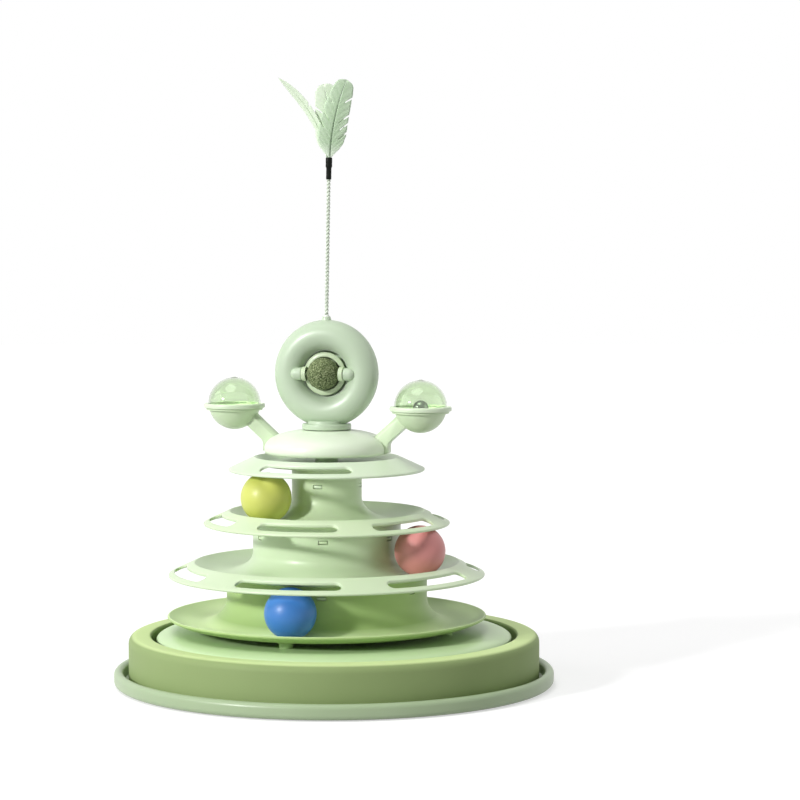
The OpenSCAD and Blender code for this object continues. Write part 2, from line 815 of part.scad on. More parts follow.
// The bar of the right arm, larger all round by g, with bevelled upper edges
module arm_bar(g) {
    d = arm_d / 2 + g;
    c = cos(arm_slope);
    s = sin(arm_slope);
    difference() {
        rotate([half_turn / 2, 0, 0]) {
            translate([0, 0, -d]) linear_extrude(height = 2 * d) polygon(arm_outline(g));
        }
        for (side = [-1, 1]) {
            translate([arm_start_r - (arm_w / 2 + g) * s, side * d, arm_start_z + (arm_w / 2 + g) * c]) {
                rotate([0, -arm_slope, 0]) {
                    rotate([half_turn / 4, 0, 0]) {
                        translate([-arm_w, -arm_bevel / sqrt(2), -arm_bevel / sqrt(2)]) {
                            cube([arm_end_l + 2 * arm_w, sqrt(2) * arm_bevel, sqrt(2) * arm_bevel]);
                        }
                    }
                }
            }
        }
    }
}

// The right arm with its bowl; the left one is the same, turned half round
module arm() {
    rim_z = ring_low_z;
    color(mint_color) difference() {
        union() {
            difference() {
                arm_bar(0);
                translate([cup_reach, 0, cup_z]) sphere(cup_r - shell_t / 2);
                translate([cup_reach, 0, 0]) post(bowl_rim_r, rim_z - bowl_rim_t, cup_z + cup_r);
            }
            translate([cup_reach, 0, 0]) {
                difference() {
                    translate([0, 0, cup_z]) sphere(cup_r);
                    post(2 * cup_r, rim_z - bowl_rim_t / 2, cup_z + 2 * cup_r);
                }
                post(bowl_rim_r, rim_z - bowl_rim_t, rim_z);
                post(spigot_r, rim_z - over, clear_base_z - rest_gap);
            }
        }
        translate([cup_reach, 0, cup_z]) sphere(cup_in_r);
        translate([cup_reach, 0, 0]) post(cup_in_r, ring_low_z - bowl_rim_t, cup_z + over);
        translate([arm_root_r + arm_d / 2, 0, 0]) post(head_screw_r, dome_z, chassis_z + head_screw_l);
    }
}

module arm_right() {
    head() arm();
}

module arm_left() {
    head() rotate([0, 0, half_turn]) arm();
}

// The floor that lies in a bowl
module cup_floor() {
    low = cup_floor_z - cup_floor_t;
    low_r = sqrt(pow(cup_in_r, 2) - pow(cup_z - low, 2));
    top_r = sqrt(pow(cup_in_r, 2) - pow(cup_z - cup_floor_z, 2));
    color(mint_color) translate([cup_reach, 0, low]) cylinder(r1 = low_r, r2 = top_r, h = cup_floor_t);
}

module cup_floor_right() {
    head() cup_floor();
}

module cup_floor_left() {
    head() rotate([0, 0, half_turn]) cup_floor();
}

// The ring that holds a clear dome on its bowl
module cup_ring() {
    low = ring_low_z;
    top = low + cup_ring_h;
    color(mint_color) translate([cup_reach, 0, 0]) difference() {
        post(cup_ring_r, low, top);
        post(ring_bore_r, low - over, top - ring_lip_t);
        post(clear_r + fit_gap, low, top + over);
    }
}

module cup_ring_right() {
    head() cup_ring();
}

module cup_ring_left() {
    head() rotate([0, 0, half_turn]) cup_ring();
}

// A clear dome, with the flange that its ring holds
module clear_dome() {
    top = clear_base_z + clear_flange_t;
    color([0.9, 0.95, 0.9, 0.4]) translate([cup_reach, 0, 0]) difference() {
        union() {
            difference() {
                translate([0, 0, cup_z]) sphere(clear_r);
                post(2 * clear_r, cup_z - 2 * clear_r, clear_base_z);
            }
            post(clear_flange_r, clear_base_z, top);
        }
        translate([0, 0, cup_z]) sphere(clear_r - clear_t);
        post(clear_r - clear_t, clear_base_z - over, cup_z);
    }
}

module clear_dome_right() {
    head() clear_dome();
}

module clear_dome_left() {
    head() rotate([0, 0, half_turn]) clear_dome();
}

// The bell on the floor of the right cup, with two crossed slots in its lower half
module bell_shell() {
    z = cup_floor_z + rest_gap + bell_r;
    color("gainsboro") head() translate([cup_reach, 0, z]) difference() {
        sphere(bell_r);
        sphere(bell_r - bell_t);
        for (turn = [0, half_turn / 2]) {
            rotate([0, 0, turn]) {
                translate([-bell_r * bell_slot_share, -bell_slot_w / 2, -2 * bell_r]) {
                    cube([2 * bell_r * bell_slot_share, bell_slot_w, 2 * bell_r * bell_slot_low_share]);
                }
            }
        }
    }
}

module bell_pellet() {
    z = cup_floor_z + rest_gap + bell_t + pellet_r;
    color("dimgray") head() translate([cup_reach, 0, z + rest_gap]) sphere(pellet_r);
}

module head_screws() {
    color("silver") head() {
        around(dome_boss_count, dome_boss_ring_r, dome_boss_turn) {
            translate([0, 0, chassis_z]) {
                screw_up(head_screw_r, head_screw_head_r, head_screw_head_h, head_screw_l - over);
            }
        }
        around(2, arm_root_r + arm_d / 2, 0) {
            translate([0, 0, chassis_z]) {
                screw_up(head_screw_r, head_screw_head_r, head_screw_head_h, head_screw_l - over);
            }
        }
    }
}

// The donut's tube, thinner by t
module tube(t) {
    rotate_extrude() translate([tube_mid_r, 0]) circle(tube_w - t);
}

// Moves to the middle of the donut, with local Z towards the front
module donut_place() {
    head() translate([0, 0, donut_z]) rotate([half_turn / 2, 0, 0]) children();
}

// The whole donut with its walls and bosses, before it is parted in two halves
module donut_body() {
    difference() {
        union() {
            difference() {
                tube(0);
                tube(donut_t);
            }
            for (side = [-1, 1]) {
                translate([side * peg_boss_in_r, 0, catnip_front]) rotate([0, side * half_turn / 2, 0]) {
                    cylinder(r = peg_boss_r, h = peg_boss_l);
                    translate([0, 0, peg_boss_l]) {
                        cylinder(r1 = peg_boss_r, r2 = peg_boss_r / 2, h = peg_boss_r);
                    }
                }
            }
            translate([0, -donut_r + donut_t / 2, 0]) rotate([-half_turn / 2, 0, 0]) {
                cylinder(r = foot_screw_boss_r, h = foot_screw_boss_h);
            }
            around(donut_screw_count, tube_mid_r, half_turn / 2) {
                post(donut_boss_r, donut_t / 2 - donut_half_t, donut_half_t - donut_t / 2);
            }
        }
        for (side = [-1, 1]) {
            translate([side * (peg_boss_in_r - over), 0, catnip_front]) {
                rotate([0, side * half_turn / 2, 0]) cylinder(r = peg_r + run_gap, h = peg_l + over);
            }
        }
        translate([0, -donut_r - over, 0]) rotate([-half_turn / 2, 0, 0]) {
            cylinder(r = foot_screw_r, h = foot_screw_tip_z + foot_screw_tip_gap - donut_z + donut_r + over);
        }
        translate([0, donut_r - 2 * donut_t, 0]) rotate([-half_turn / 2, 0, 0]) {
            cylinder(r = collar_r + run_gap, h = 3 * donut_t);
        }
        around(donut_screw_count, tube_mid_r, half_turn / 2) {
            post(head_screw_r, -donut_half_t - over, donut_half_t - 2 * donut_t);
        }
    }
}

module donut_front() {
    color(mint_color) donut_place() intersection() {
        donut_body();
        translate([-donut_r, -donut_r, 0]) cube([2 * donut_r, 2 * donut_r, 2 * donut_half_t]);
    }
}

module donut_back() {
    color(mint_color) donut_place() intersection() {
        donut_body();
        translate([-donut_r, -donut_r, -2 * donut_half_t]) {
            cube([2 * donut_r, 2 * donut_r, 2 * donut_half_t]);
        }
    }
}

module donut_screws() {
    color("silver") donut_place() around(donut_screw_count, tube_mid_r, half_turn / 2) {
        post(head_screw_r, -donut_half_t + donut_t / 4, donut_half_t - 2 * donut_t - over);
    }
}

module donut_foot() {
    color(mint_color) head() difference() {
        union() {
            post(foot_spigot_r - fit_gap, dome_top_z - shell_t, dome_top_z + flange_h);
            post(flange_r, dome_top_z, flange_top_z);
            post(neck_r, dome_top_z, flange_top_z + neck_h);
        }
        translate([0, 0, donut_z]) rotate([half_turn / 2, 0, 0]) {
            tube(-rest_gap);
        }
        post(foot_screw_r, dome_wide_z, flange_top_z + neck_h);
    }
}

// The screw that holds the donut and its foot on the dome
module foot_screw() {
    color("silver") head() translate([0, 0, foot_screw_z]) {
        screw_up(foot_screw_r, foot_screw_head_r, foot_screw_head_h, foot_screw_l - foot_screw_head_h);
    }
}

module catnip_cover() {
    color("#d5e2b4") donut_place() translate([0, 0, catnip_front]) difference() {
        union() {
            difference() {
                sphere(cover_r);
                translate([-2 * cover_r, -2 * cover_r, -cover_cut]) {
                    cube([4 * cover_r, 4 * cover_r, 4 * cover_r]);
                }
            }
            for (side = [-1, 1]) {
                rotate([0, side * half_turn / 2, 0]) {
                    cylinder(r = ear_r, h = ear_out_r);
                    cylinder(r = peg_r, h = peg_boss_in_r + peg_l - peg_in);
                }
            }
        }
        sphere(cover_r - cover_t);
    }
    color("#d5e2b4") donut_place() translate([0, 0, catnip_front]) {
        for (side = [-1, 1]) {
            rotate([0, side * half_turn / 2, 0]) {
                post(pin_r, catnip_r - pin_l, cover_r - cover_t / 2);
            }
        }
    }
}

module catnip_ball() {
    color("#6b7a4a") donut_place() translate([0, 0, catnip_front]) difference() {
        rotate([0, 0, half_turn / 4]) sphere(catnip_r);
        translate([-catnip_r - over, 0, 0]) rotate([0, half_turn / 2, 0]) {
            cylinder(r = pin_r + run_gap, h = 2 * (catnip_r + over));
        }
    }
}

// The turning collar, with a round seat for the ball end and a mouth as wide as the sway needs
module wand_collar() {
    mouth_h = collar_top_z - wand_z;
    mouth_r = mouth_h * tan(sway) + (wire_r + fit_gap) / cos(sway);
    color(mint_color) head() difference() {
        union() {
            post(collar_r, collar_top_z - collar_h - collar_flange_drop, collar_top_z);
            post(collar_flange_r, collar_top_z - collar_h - collar_flange_drop,
                collar_top_z - collar_h - collar_flange_drop + collar_flange_t);
        }
        translate([0, 0, wand_z]) sphere(wand_ball_r + run_gap);
        translate([0, 0, wand_z]) {
            cylinder(r1 = wire_r + fit_gap, r2 = mouth_r + over * tan(sway), h = mouth_h + over);
        }
    }
}

// Moves to the middle of the wand's ball end, leaning as the wand does
module wand() {
    head() translate([0, 0, wand_z]) rotate([0, 0, -head_turn]) rotate([0, wand_lean, 0]) children();
}

module wand_ball_end() {
    color("#8c9a80") wand() difference() {
        sphere(wand_ball_r);
        post(wire_r, 0, 2 * wand_ball_r);
    }
}

module wand_wire() {
    color("#c7d3bd") wand() post(wire_r, 0, wire_l + ferrule_seat);
}

module wand_ferrule() {
    color("#151d10") wand() difference() {
        union() {
            post(ferrule_low_r, wire_l, wire_l + ferrule_low_l + over);
            post(ferrule_top_r, wire_l + ferrule_low_l, wire_l + ferrule_l);
        }
        post(wire_r, wire_l - over, wire_l + ferrule_seat);
        post(ferrule_low_r, wire_l + ferrule_l - quill_sink, wire_l + ferrule_l + over);
    }
}

// A point at share t of a bent line from a through b to c
function bend_at(a, b, c, t) = (1 - t) * (1 - t) * a + 2 * t * (1 - t) * b + t * t * c;

// Half the width of a feather at share t of its length: a bare quill, then the vane
function vane(t, half_w, quill_w, full) =
    let (u = min(1, max(0, (t - bare_quill_share) / (1 - bare_quill_share))))
    max(quill_w, half_w * pow(sin(half_turn * pow(u, full)), 0.7));

// A thin bent plate from its root share through its bend share to its tip share, wide along w
module feather(root, bend, tip, w, half_w, full) {
    n = feather_steps;
    a = ferrule_top_r * root + [0, 0, rest_gap - quill_sink];
    b = feather_l * bend;
    c = feather_l * tip;
    quill_w = feather_t / 2;
    d = [-w[1], w[0], 0] * feather_t / 2;
    points = [for (i = [0:n]) let (p = bend_at(a, b, c, i / n), h = vane(i / n, half_w, quill_w, full))
        each [p - w * h, p - d, p + w * h, p + d]];
    sides = [for (i = [0:n - 1]) for (k = [0:3])
        let (j = 4 * i + k, m = 4 * i + (k + 1) % 4)
        each [[j, j + 4, m], [m, j + 4, m + 4]]];
    polyhedron(points, concat(sides, [[0, 1, 2], [0, 2, 3]],
        [[4 * n, 4 * n + 2, 4 * n + 1], [4 * n, 4 * n + 3, 4 * n + 2]]));
}

// Moves to the top of the ferrule
module ferrule_top() {
    wand() translate([0, 0, wire_l + ferrule_l]) children();
}

module feather_front() {
    color("#a3bd9b") ferrule_top() {
        feather(front_root_share, front_bend_share, front_tip_share, [1, 0, 0], front_half_w, 1.25);
    }
}

module feather_back() {
    color("#d4efc6") ferrule_top() {
        feather(back_root_share, back_bend_share, back_tip_share, [1, 0, 0], back_half_w, 1.6);
    }
}

module feather_side() {
    color("#d4efc6") ferrule_top() {
        feather(side_root_share, side_bend_share, side_tip_share, [0, 1, 0], side_half_w, 1);
    }
}

// A ball on its path, at this angle round the tower
module ball(orbit_r, floor_z, at, shade) {
    color(shade) tower() rotate([0, 0, at]) translate([orbit_r, 0, floor_z + ball_gap + ball_r]) {
        difference() {
            sphere(ball_r);
            sphere(ball_r - ball_wall);
        }
    }
}

module ball_blue() {
    ball(tray_orbit_r, tray_floor_z, blue_turn, "#4a86c8");
}

module ball_pink() {
    ball(lower_orbit_r, lower_floor_z, pink_turn, "#d08a88");
}

module ball_yellow() {
    ball(middle_orbit_r, middle_floor_z, yellow_turn, "#dde06e");
}

base_tray();
base_pads();
base_ring();
platform_disc();
base_screws();
tower_feet();
tower_screws();
track_tray();
track_lower();
track_middle();
track_top();
spindle();
thrust_washer();
spindle_keeper();
head_chassis();
head_dome();
arm_left();
arm_right();
cup_floor_left();
cup_floor_right();
head_screws();
donut_foot();
donut_front();
donut_back();
donut_screws();
foot_screw();
clear_dome_left();
clear_dome_right();
cup_ring_left();
cup_ring_right();
bell_shell();
bell_pellet();
catnip_cover();
catnip_ball();
wand_collar();
wand_ball_end();
wand_wire();
wand_ferrule();
feather_front();
feather_back();
feather_side();
ball_blue();
ball_pink();
ball_yellow();
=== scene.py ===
"""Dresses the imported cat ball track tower: smooth moulded shells, clear cups, feather wand and studio."""

import math
import random

import bmesh
import bpy
from bpy.props import FloatProperty, FloatVectorProperty, IntProperty, PointerProperty
from mathutils import Matrix, Vector, noise


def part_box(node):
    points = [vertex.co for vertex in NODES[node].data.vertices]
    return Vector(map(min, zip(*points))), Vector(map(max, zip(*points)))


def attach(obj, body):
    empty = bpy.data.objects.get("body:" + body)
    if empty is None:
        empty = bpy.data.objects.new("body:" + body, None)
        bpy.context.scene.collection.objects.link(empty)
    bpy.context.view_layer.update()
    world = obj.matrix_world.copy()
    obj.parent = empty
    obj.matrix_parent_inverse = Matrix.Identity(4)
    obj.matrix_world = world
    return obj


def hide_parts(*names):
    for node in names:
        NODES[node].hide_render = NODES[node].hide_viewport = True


bl_info = {
    "name": "Cat ball track tower",
    "version": (1, 0, 0),
    "blender": (4, 5, 0),
    "location": "View3D > Sidebar > Ball tower",
    "description": "Builds the dressed cat ball track tower piece by piece over its packed frame",
    "category": "Object",
}

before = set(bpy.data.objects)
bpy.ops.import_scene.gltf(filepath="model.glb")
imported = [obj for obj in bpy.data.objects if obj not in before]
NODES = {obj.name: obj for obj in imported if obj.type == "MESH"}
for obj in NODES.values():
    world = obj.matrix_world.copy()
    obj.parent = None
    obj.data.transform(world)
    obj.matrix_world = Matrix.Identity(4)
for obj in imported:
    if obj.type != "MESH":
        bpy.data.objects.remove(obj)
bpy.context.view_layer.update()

# One millimetre, in the frame's metres. Every size below is in millimetres.
MM = 0.001


def low_corner(node):
    """The lowest corner of a CAD node in millimetres."""
    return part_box(node)[0] / MM


def high_corner(node):
    """The highest corner of a CAD node in millimetres."""
    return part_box(node)[1] / MM


def middle_of(node):
    """The middle of a CAD node in millimetres."""
    low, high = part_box(node)
    return (low + high) / 2 / MM


# Base
PAD_PROUD = 0.8
PAD_DEPTH = 0.7
PAD_R = 9.0
PAD_RING_R = 138.6
TRAY_Z = 3.3
RIM_OUT_R = high_corner("base_tray").x
RIM_W = 7.6
RIM_H = 12.0
RING_OUT_R = high_corner("base_ring").x
RING_W = 18.0
RING_Z = high_corner("base_ring").z
RING_ROUND = 7.0
RING_WALL = 2.6
DECK_R = high_corner("platform_disc").x
DECK_Z = high_corner("platform_disc").z
DECK_SHOULDER_W = 20.0
DECK_SHOULDER_H = 6.0
DECK_SKIRT_H = 9.0
DECK_WALL = 3.0

# Tower
TOWER_X = -5.8
WALL = 2.2
BALL_R = 20.0
FOOT_R = 5.6
FOOT_H = 3.6
FOOT_RING_R = 98.0
FOOT_TURN = -18.5
SLOT_W = 10.0
SLOT_LAND = 4.6
SLOT_TURN = -15.5
# The brim's strip round the slots: its steps across, and its margins inside, outside and beside them
PATCH_STEPS = 6
PATCH_IN = 2.2
PATCH_OUT = 2.0
PATCH_SIDE = 2.4
BRIM_W = 20.6
BRIM_FALL = 24
CREST_H = 7.4
CREST_ROUND = 1.6
CHANNEL_W = 20.8
LIP_W = 23.5
LIP_H = 5.9
RECESS_W = 7.0
RECESS_H = 5.0
TRAY_COL_R = 79.5
LOWER_COL_R = 58.7
MIDDLE_COL_R = 27.8
TRAY_ORBIT_R = 101.3
LOWER_ORBIT_R = 84.0
MIDDLE_ORBIT_R = 56.2
TRAY_FLOOR_Z = 49.3
LOWER_FLOOR_Z = 90.05
MIDDLE_FLOOR_Z = 130.8
TOP_FLOOR_Z = 175.9
# The latches of each column: its radius, their depth below its top, their number and their turn in degrees
TRAY_LATCH = (TRAY_COL_R, 10.0, 6, -3.0)
LOWER_LATCH = (LOWER_COL_R, 10.0, 6, -3.0)
MIDDLE_LATCH = (MIDDLE_COL_R, 15.0, 4, -15.0)
LATCH_W = 7.5
HALF_LATCH_H = 1.6
HOOK_SIZE = (2.8, 6.5, 2.2)
SPIGOT_WALL = 1.8
SPIGOT_GAP = 0.1

# Head, in the frame of the turned head: +X along the right arm
HEAD_TURN = math.radians(-17)
DOME_R = 49.4
DOME_H = 16.6
DOME_SKIRT = 2.7
SHELL = 2.2
DOME_Z = low_corner("head_dome").z
DOME_WIDE_Z = DOME_Z + DOME_SKIRT
DOME_TOP_Z = DOME_WIDE_Z + DOME_H
ARM_SLOPE = math.radians(42)
ARM_L = 33.4
ARM_H = 11.5
ARM_W = 11.0
ARM_EDGE = 0.5
KNEE_R = 6
CUP_REACH = 77.0
CUP_Z = DOME_Z + 38.2
CUP_R = 20.6
CUP_RING_R = 24.4
BOWL_IN_R = CUP_R - 2
BOWL_EDGE_Z = -5.1
BOWL_TOP_Z = -1.56
CUP_FLOOR_Z = -7.4
CUP_FLOOR_T = 1.5
CLEAR_R = 21.0
CLEAR_T = 1.2
FLANGE_Z = -1.5
BELL_R = 6.2
BELL_T = 0.6
DONUT_Z = DOME_TOP_Z + 44.0
TUBE_MID_R = 30.2
TUBE_R = 12.2
DONUT_T = 2.4
COLLAR_HOLE_R = 3.86
SCREW_HOLE_R = 2.1
CATNIP_FRONT = 9.5
CATNIP_R = 13.1
COVER_R = 16.4
COVER_T = 1.8
COVER_EDGE_Z = -5.2
PIN_R = 1.5

# Wand, in the frame of its ball end
COLLAR_TOP_Z = DONUT_Z + TUBE_MID_R + TUBE_R + 3.2
WAND_Z = COLLAR_TOP_Z - 1.7
WAND_LEAN = math.radians(1)
WIRE_L = 109.0
WIRE_IN_SLEEVE = 6.5
STRAND_MID_R = 0.74
FERRULE_LOW_L = 9.6
FERRULE_TOP_L = 7.6
# Half width of a feather's vane, as a share of the widest, where the barbs end along the quill
BROAD_VANE = (
    (0.05, 0.12), (0.1, 0.36), (0.15, 0.62), (0.22, 0.86), (0.33, 1.0), (0.5, 0.98),
    (0.7, 0.88), (0.85, 0.78), (0.94, 0.64), (0.98, 0.44), (1.0, 0.0),
)
SLIM_VANE = (
    (0.05, 0.1), (0.2, 0.5), (0.35, 0.82), (0.5, 0.97), (0.65, 1.0), (0.8, 0.84), (0.92, 0.5), (1.0, 0.0),
)
HALF_BARB_T = 0.06
BARB_POINTS = 9

# Studio, with the camera's tilt down and its turn to the right in degrees
CAMERA_PLACE = (-3.907, -2141.07, 364.65)
CAMERA_TILT = 3.7227
CAMERA_TURN = 1.5031
SENSOR_W = 36
CAMERA_REACH = 20000
FLOOR_HALF = 6000

BASE_PLACE = Matrix.Identity(4)
TOWER_PLACE = Matrix.Translation((TOWER_X, 0, 0))
HEAD_PLACE = TOWER_PLACE @ Matrix.Rotation(HEAD_TURN, 4, "Z")
# The turn of each side of the head
SIDES = {"right": Matrix.Identity(4), "left": Matrix.Rotation(math.pi, 4, "Z")}
# Local Z of the donut looks to the front
DONUT_PLACE = HEAD_PLACE @ Matrix.Translation((0, 0, DONUT_Z)) @ Matrix.Rotation(math.pi / 2, 4, "X")
CATNIP_PLACE = DONUT_PLACE @ Matrix.Translation((0, 0, CATNIP_FRONT))
WAND_PLACE = Matrix.Translation((TOWER_X, 0, WAND_Z)) @ Matrix.Rotation(WAND_LEAN, 4, "Y")


def cup_place(side):
    """The middle of the right or the left cup."""
    return HEAD_PLACE @ SIDES[side] @ Matrix.Translation((CUP_REACH, 0, CUP_Z))


def on_circle(radius, degrees):
    """The place at this angle on a circle round the axis."""
    a = math.radians(degrees)
    return Matrix.Translation((radius * math.cos(a), radius * math.sin(a), 0))


FOOT_PLACES = [on_circle(FOOT_RING_R, FOOT_TURN + 90 * i) for i in range(4)]


# Meshes


def arc(cx, cz, rx, rz, start, end, steps=24):
    """Points of an elliptic arc between two angles in degrees, both ends included."""
    angles = [math.radians(start + (end - start) * i / steps) for i in range(steps + 1)]
    return [(cx + rx * math.cos(a), cz + rz * math.sin(a)) for a in angles]


def sphere_arc(radius, start, end, steps=40):
    """Points of a circle about the axis, between two angles in degrees from the middle plane."""
    return arc(0, 0, radius, radius, start, end, steps)


def rounded(corners, steps=5):
    """An outline with its corners rounded: each corner is (r, z) or (r, z, radius)."""
    points = []
    for i, corner in enumerate(corners):
        here = Vector(corner[:2])
        if len(corner) < 3:
            points.append(tuple(here))
            continue
        before = Vector(corners[i - 1][:2]) - here
        after = Vector(corners[(i + 1) % len(corners)][:2]) - here
        half = before.angle(after) / 2
        back = min(corner[2] / math.tan(half), before.length * 0.49, after.length * 0.49)
        first = here + before.normalized() * back
        last = here + after.normalized() * back
        for k in range(steps + 1):
            t = k / steps
            points.append(tuple((1 - t) ** 2 * first + 2 * t * (1 - t) * here + t * t * last))
    return points


def even_angles(steps):
    """Evenly spaced angles of a full turn, in radians."""
    return [2 * math.pi * i / steps for i in range(steps)]


def columns_of(outline, angles):
    """The points of an outline of (radius, height) at each of these angles round Z."""
    return [(r * math.cos(a), r * math.sin(a), z) for a in angles for r, z in outline]


def wall_faces(count, n, left_out=()):
    """The faces between count columns of n points that go round Z, but for the ones left out."""
    faces = []
    for i in range(count):
        j = (i + 1) % count
        for k in range(n):
            m = (k + 1) % n
            if (i, k) not in left_out:
                faces.append((i * n + k, j * n + k, j * n + m, i * n + m))
    return faces


def lathe(outline, steps):
    """Vertices and faces of a closed outline of (radius, height) turned round Z."""
    return columns_of(outline, even_angles(steps)), wall_faces(steps, len(outline))


def joined(*parts):
    """Several (vertices, faces) pairs as one."""
    verts = []
    faces = []
    for part_verts, part_faces in parts:
        start = len(verts)
        verts.extend(part_verts)
        faces.extend(tuple(start + i for i in face) for face in part_faces)
    return verts, faces


def placed(part, place):
    """A (vertices, faces) pair moved by a matrix in millimetres."""
    verts, faces = part
    return [tuple(place @ Vector(v)) for v in verts], faces


def part_of(bm):
    """The (vertices, faces) pair of a bmesh, which is freed."""
    bm.verts.index_update()
    part = [tuple(v.co) for v in bm.verts], [tuple(v.index for v in f.verts) for f in bm.faces]
    bm.free()
    return part


def smooth(mesh, sharp_angle):
    """Smooth shading that keeps real corners sharp."""
    mesh.polygons.foreach_set("use_smooth", [True] * len(mesh.polygons))
    mesh.set_sharp_from_angle(angle=math.radians(sharp_angle))


def tidy_mesh(mesh, sharp_angle):
    """Merges poles, drops empty faces, turns the normals outward and shades the mesh."""
    bm = bmesh.new()
    bm.from_mesh(mesh)
    bmesh.ops.remove_doubles(bm, verts=bm.verts, dist=0.00001)
    bmesh.ops.dissolve_degenerate(bm, edges=bm.edges, dist=0.000005)
    bmesh.ops.recalc_face_normals(bm, faces=bm.faces)
    bm.to_mesh(mesh)
    bm.free()
    mesh.validate()
    smooth(mesh, sharp_angle)
    mesh.update()


def linked(name, data):
    """A new object with this data, in the scene."""
    item = bpy.data.objects.new(name, data)
    bpy.context.scene.collection.objects.link(item)
    return item


def new_object(name, part, place, sharp_angle=40):
    """A Blender object from a (vertices, faces) pair in millimetres."""
    verts, faces = part
    mesh = bpy.data.meshes.new(name)
    mesh.from_pydata([tuple((place @ Vector(v)) * MM) for v in verts], [], faces)
    tidy_mesh(mesh, sharp_angle)
    return linked(name, mesh)


def dress(piece, material, slot, body, *nodes):
    """Gives a piece its material and says what it stands for and what it rides on."""
    piece.data.materials.clear()
    piece.data.materials.append(material)
    if nodes:
        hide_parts(*nodes)
    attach(piece, body)
    return piece


def add_piece(name, part, place, *finish, sharp_angle=40):
    """A new piece that is dressed as it is, without cuts."""
    return dress(new_object(name, part, place, sharp_angle), *finish)


def cut_with(piece, cutter, operation="DIFFERENCE", sharp_angle=40):
    """Cuts or joins one object with another and removes the second one."""
    step = piece.modifiers.new("cut", "BOOLEAN")
    step.operation = operation
    step.solver = "EXACT"
    step.object = cutter
    graph = bpy.context.evaluated_depsgraph_get()
    mesh = bpy.data.meshes.new_from_object(piece.evaluated_get(graph))
    piece.modifiers.clear()
    old = piece.data
    piece.data = mesh
    bpy.data.meshes.remove(old)
    bpy.data.objects.remove(cutter)
    if not len(mesh.polygons):
        raise RuntimeError(piece.name + " was cut away")
    smooth(mesh, sharp_angle)


def block(size, centre, bevel=0.0):
    """A box, with softened edges if it has a bevel, as (vertices, faces)."""
    bm = bmesh.new()
    bmesh.ops.create_cube(bm, size=1)
    for v in bm.verts:
        v.co = Vector((v.co.x * size[0], v.co.y * size[1], v.co.z * size[2])) + Vector(centre)
    if bevel:
        bmesh.ops.bevel(bm, geom=list(bm.edges), offset=bevel, segments=2, profile=0.5, affect="EDGES")
    return part_of(bm)


def tube(path, radii, sides=10):
    """A round tube along a list of points, closed at both ends."""
    verts = []
    faces = []
    count = len(path)
    side_axis = Vector((1, 0, 0))
    for i, point in enumerate(path):
        ahead = Vector(path[min(i + 1, count - 1)])
        behind = Vector(path[max(i - 1, 0)])
        along = (ahead - behind).normalized()
        side_axis = (side_axis - along * side_axis.dot(along)).normalized()
        other = along.cross(side_axis)
        for a in even_angles(sides):
            verts.append(tuple(Vector(point) + (side_axis * math.cos(a) + other * math.sin(a)) * radii[i]))
    for i in range(count - 1):
        for k in range(sides):
            m = (k + 1) % sides
            faces.append((i * sides + k, i * sides + m, (i + 1) * sides + m, (i + 1) * sides + k))
    faces.append(tuple(range(sides)))
    faces.append(tuple((count - 1) * sides + k for k in range(sides)))
    return verts, faces


# Tracks


def turn_to(angle, middle):
    """The turn from a middle angle to another angle, the shorter way round."""
    return (angle - middle + math.pi) % (2 * math.pi) - math.pi


def spread(count, turn):
    """The middle angles of equal features round the tower, the first turned this far from the front."""
    first = math.radians(turn - 90)
    return [first + 2 * math.pi * i / count for i in range(count)]


def track_angles(sides):
    """Angles for a track: even steps, with the sides of the slot patches and of the windows among them."""
    special = sorted({round(a % (2 * math.pi), 9) for a in sides})
    near = math.radians(0.4)
    even = [a for a in even_angles(288) if min(abs(turn_to(a, s)) for s in special) > near]
    return sorted(special + even)


def line_points(start, end, radii):
    """The start, the points of a straight line at these radii, and its end."""
    slope = end[1] - start[1]
    width = end[0] - start[0]
    return [start] + [(r, start[1] + slope * ((r - start[0]) / width)) for r in radii] + [end]


def channel_wall(latch, orbit_r, floor_z, flare_h, top_z, dish, rise):
    """Both faces of a channel's wall: from the column's top down and out to the crest, and back below."""
    col_r, drop = latch[:2]
    high = top_z - drop + HALF_LATCH_H
    low = top_z - drop - HALF_LATCH_H
    upper = [(col_r, top_z), (col_r, high), (col_r, low)]
    upper += arc(orbit_r, floor_z + flare_h, orbit_r - col_r, flare_h, 180, 270)
    upper += arc(orbit_r, floor_z + dish, dish, dish, 270, 270 + rise)[1:]
    under = arc(orbit_r, floor_z + dish, dish + WALL, dish + WALL, 270 + rise, 270)
    under += arc(orbit_r, floor_z + flare_h, orbit_r - col_r + WALL, flare_h + WALL, 270, 180)[1:]
    under += [(col_r - WALL, low), (col_r - WALL, high), (col_r - WALL, top_z)]
    return upper, under


def under_crest(crest_r, crest_z, rise, depth):
    """The point this far below both slopes of a crest."""
    a = math.radians(rise)
    s = math.radians(BRIM_FALL)
    k = depth / (1 + math.cos(a + s))
    return (crest_r - k * (math.sin(s) - math.sin(a)), crest_z - k * (math.cos(a) + math.cos(s)))


def crest_arc(crest_r, crest_z, rise):
    """The rounded crest between a slope that rises by this angle in degrees and the falling brim."""
    middle = under_crest(crest_r, crest_z, rise, CREST_ROUND)
    return arc(*middle, CREST_ROUND, CREST_ROUND, 90 + rise, 90 - BRIM_FALL, 10)


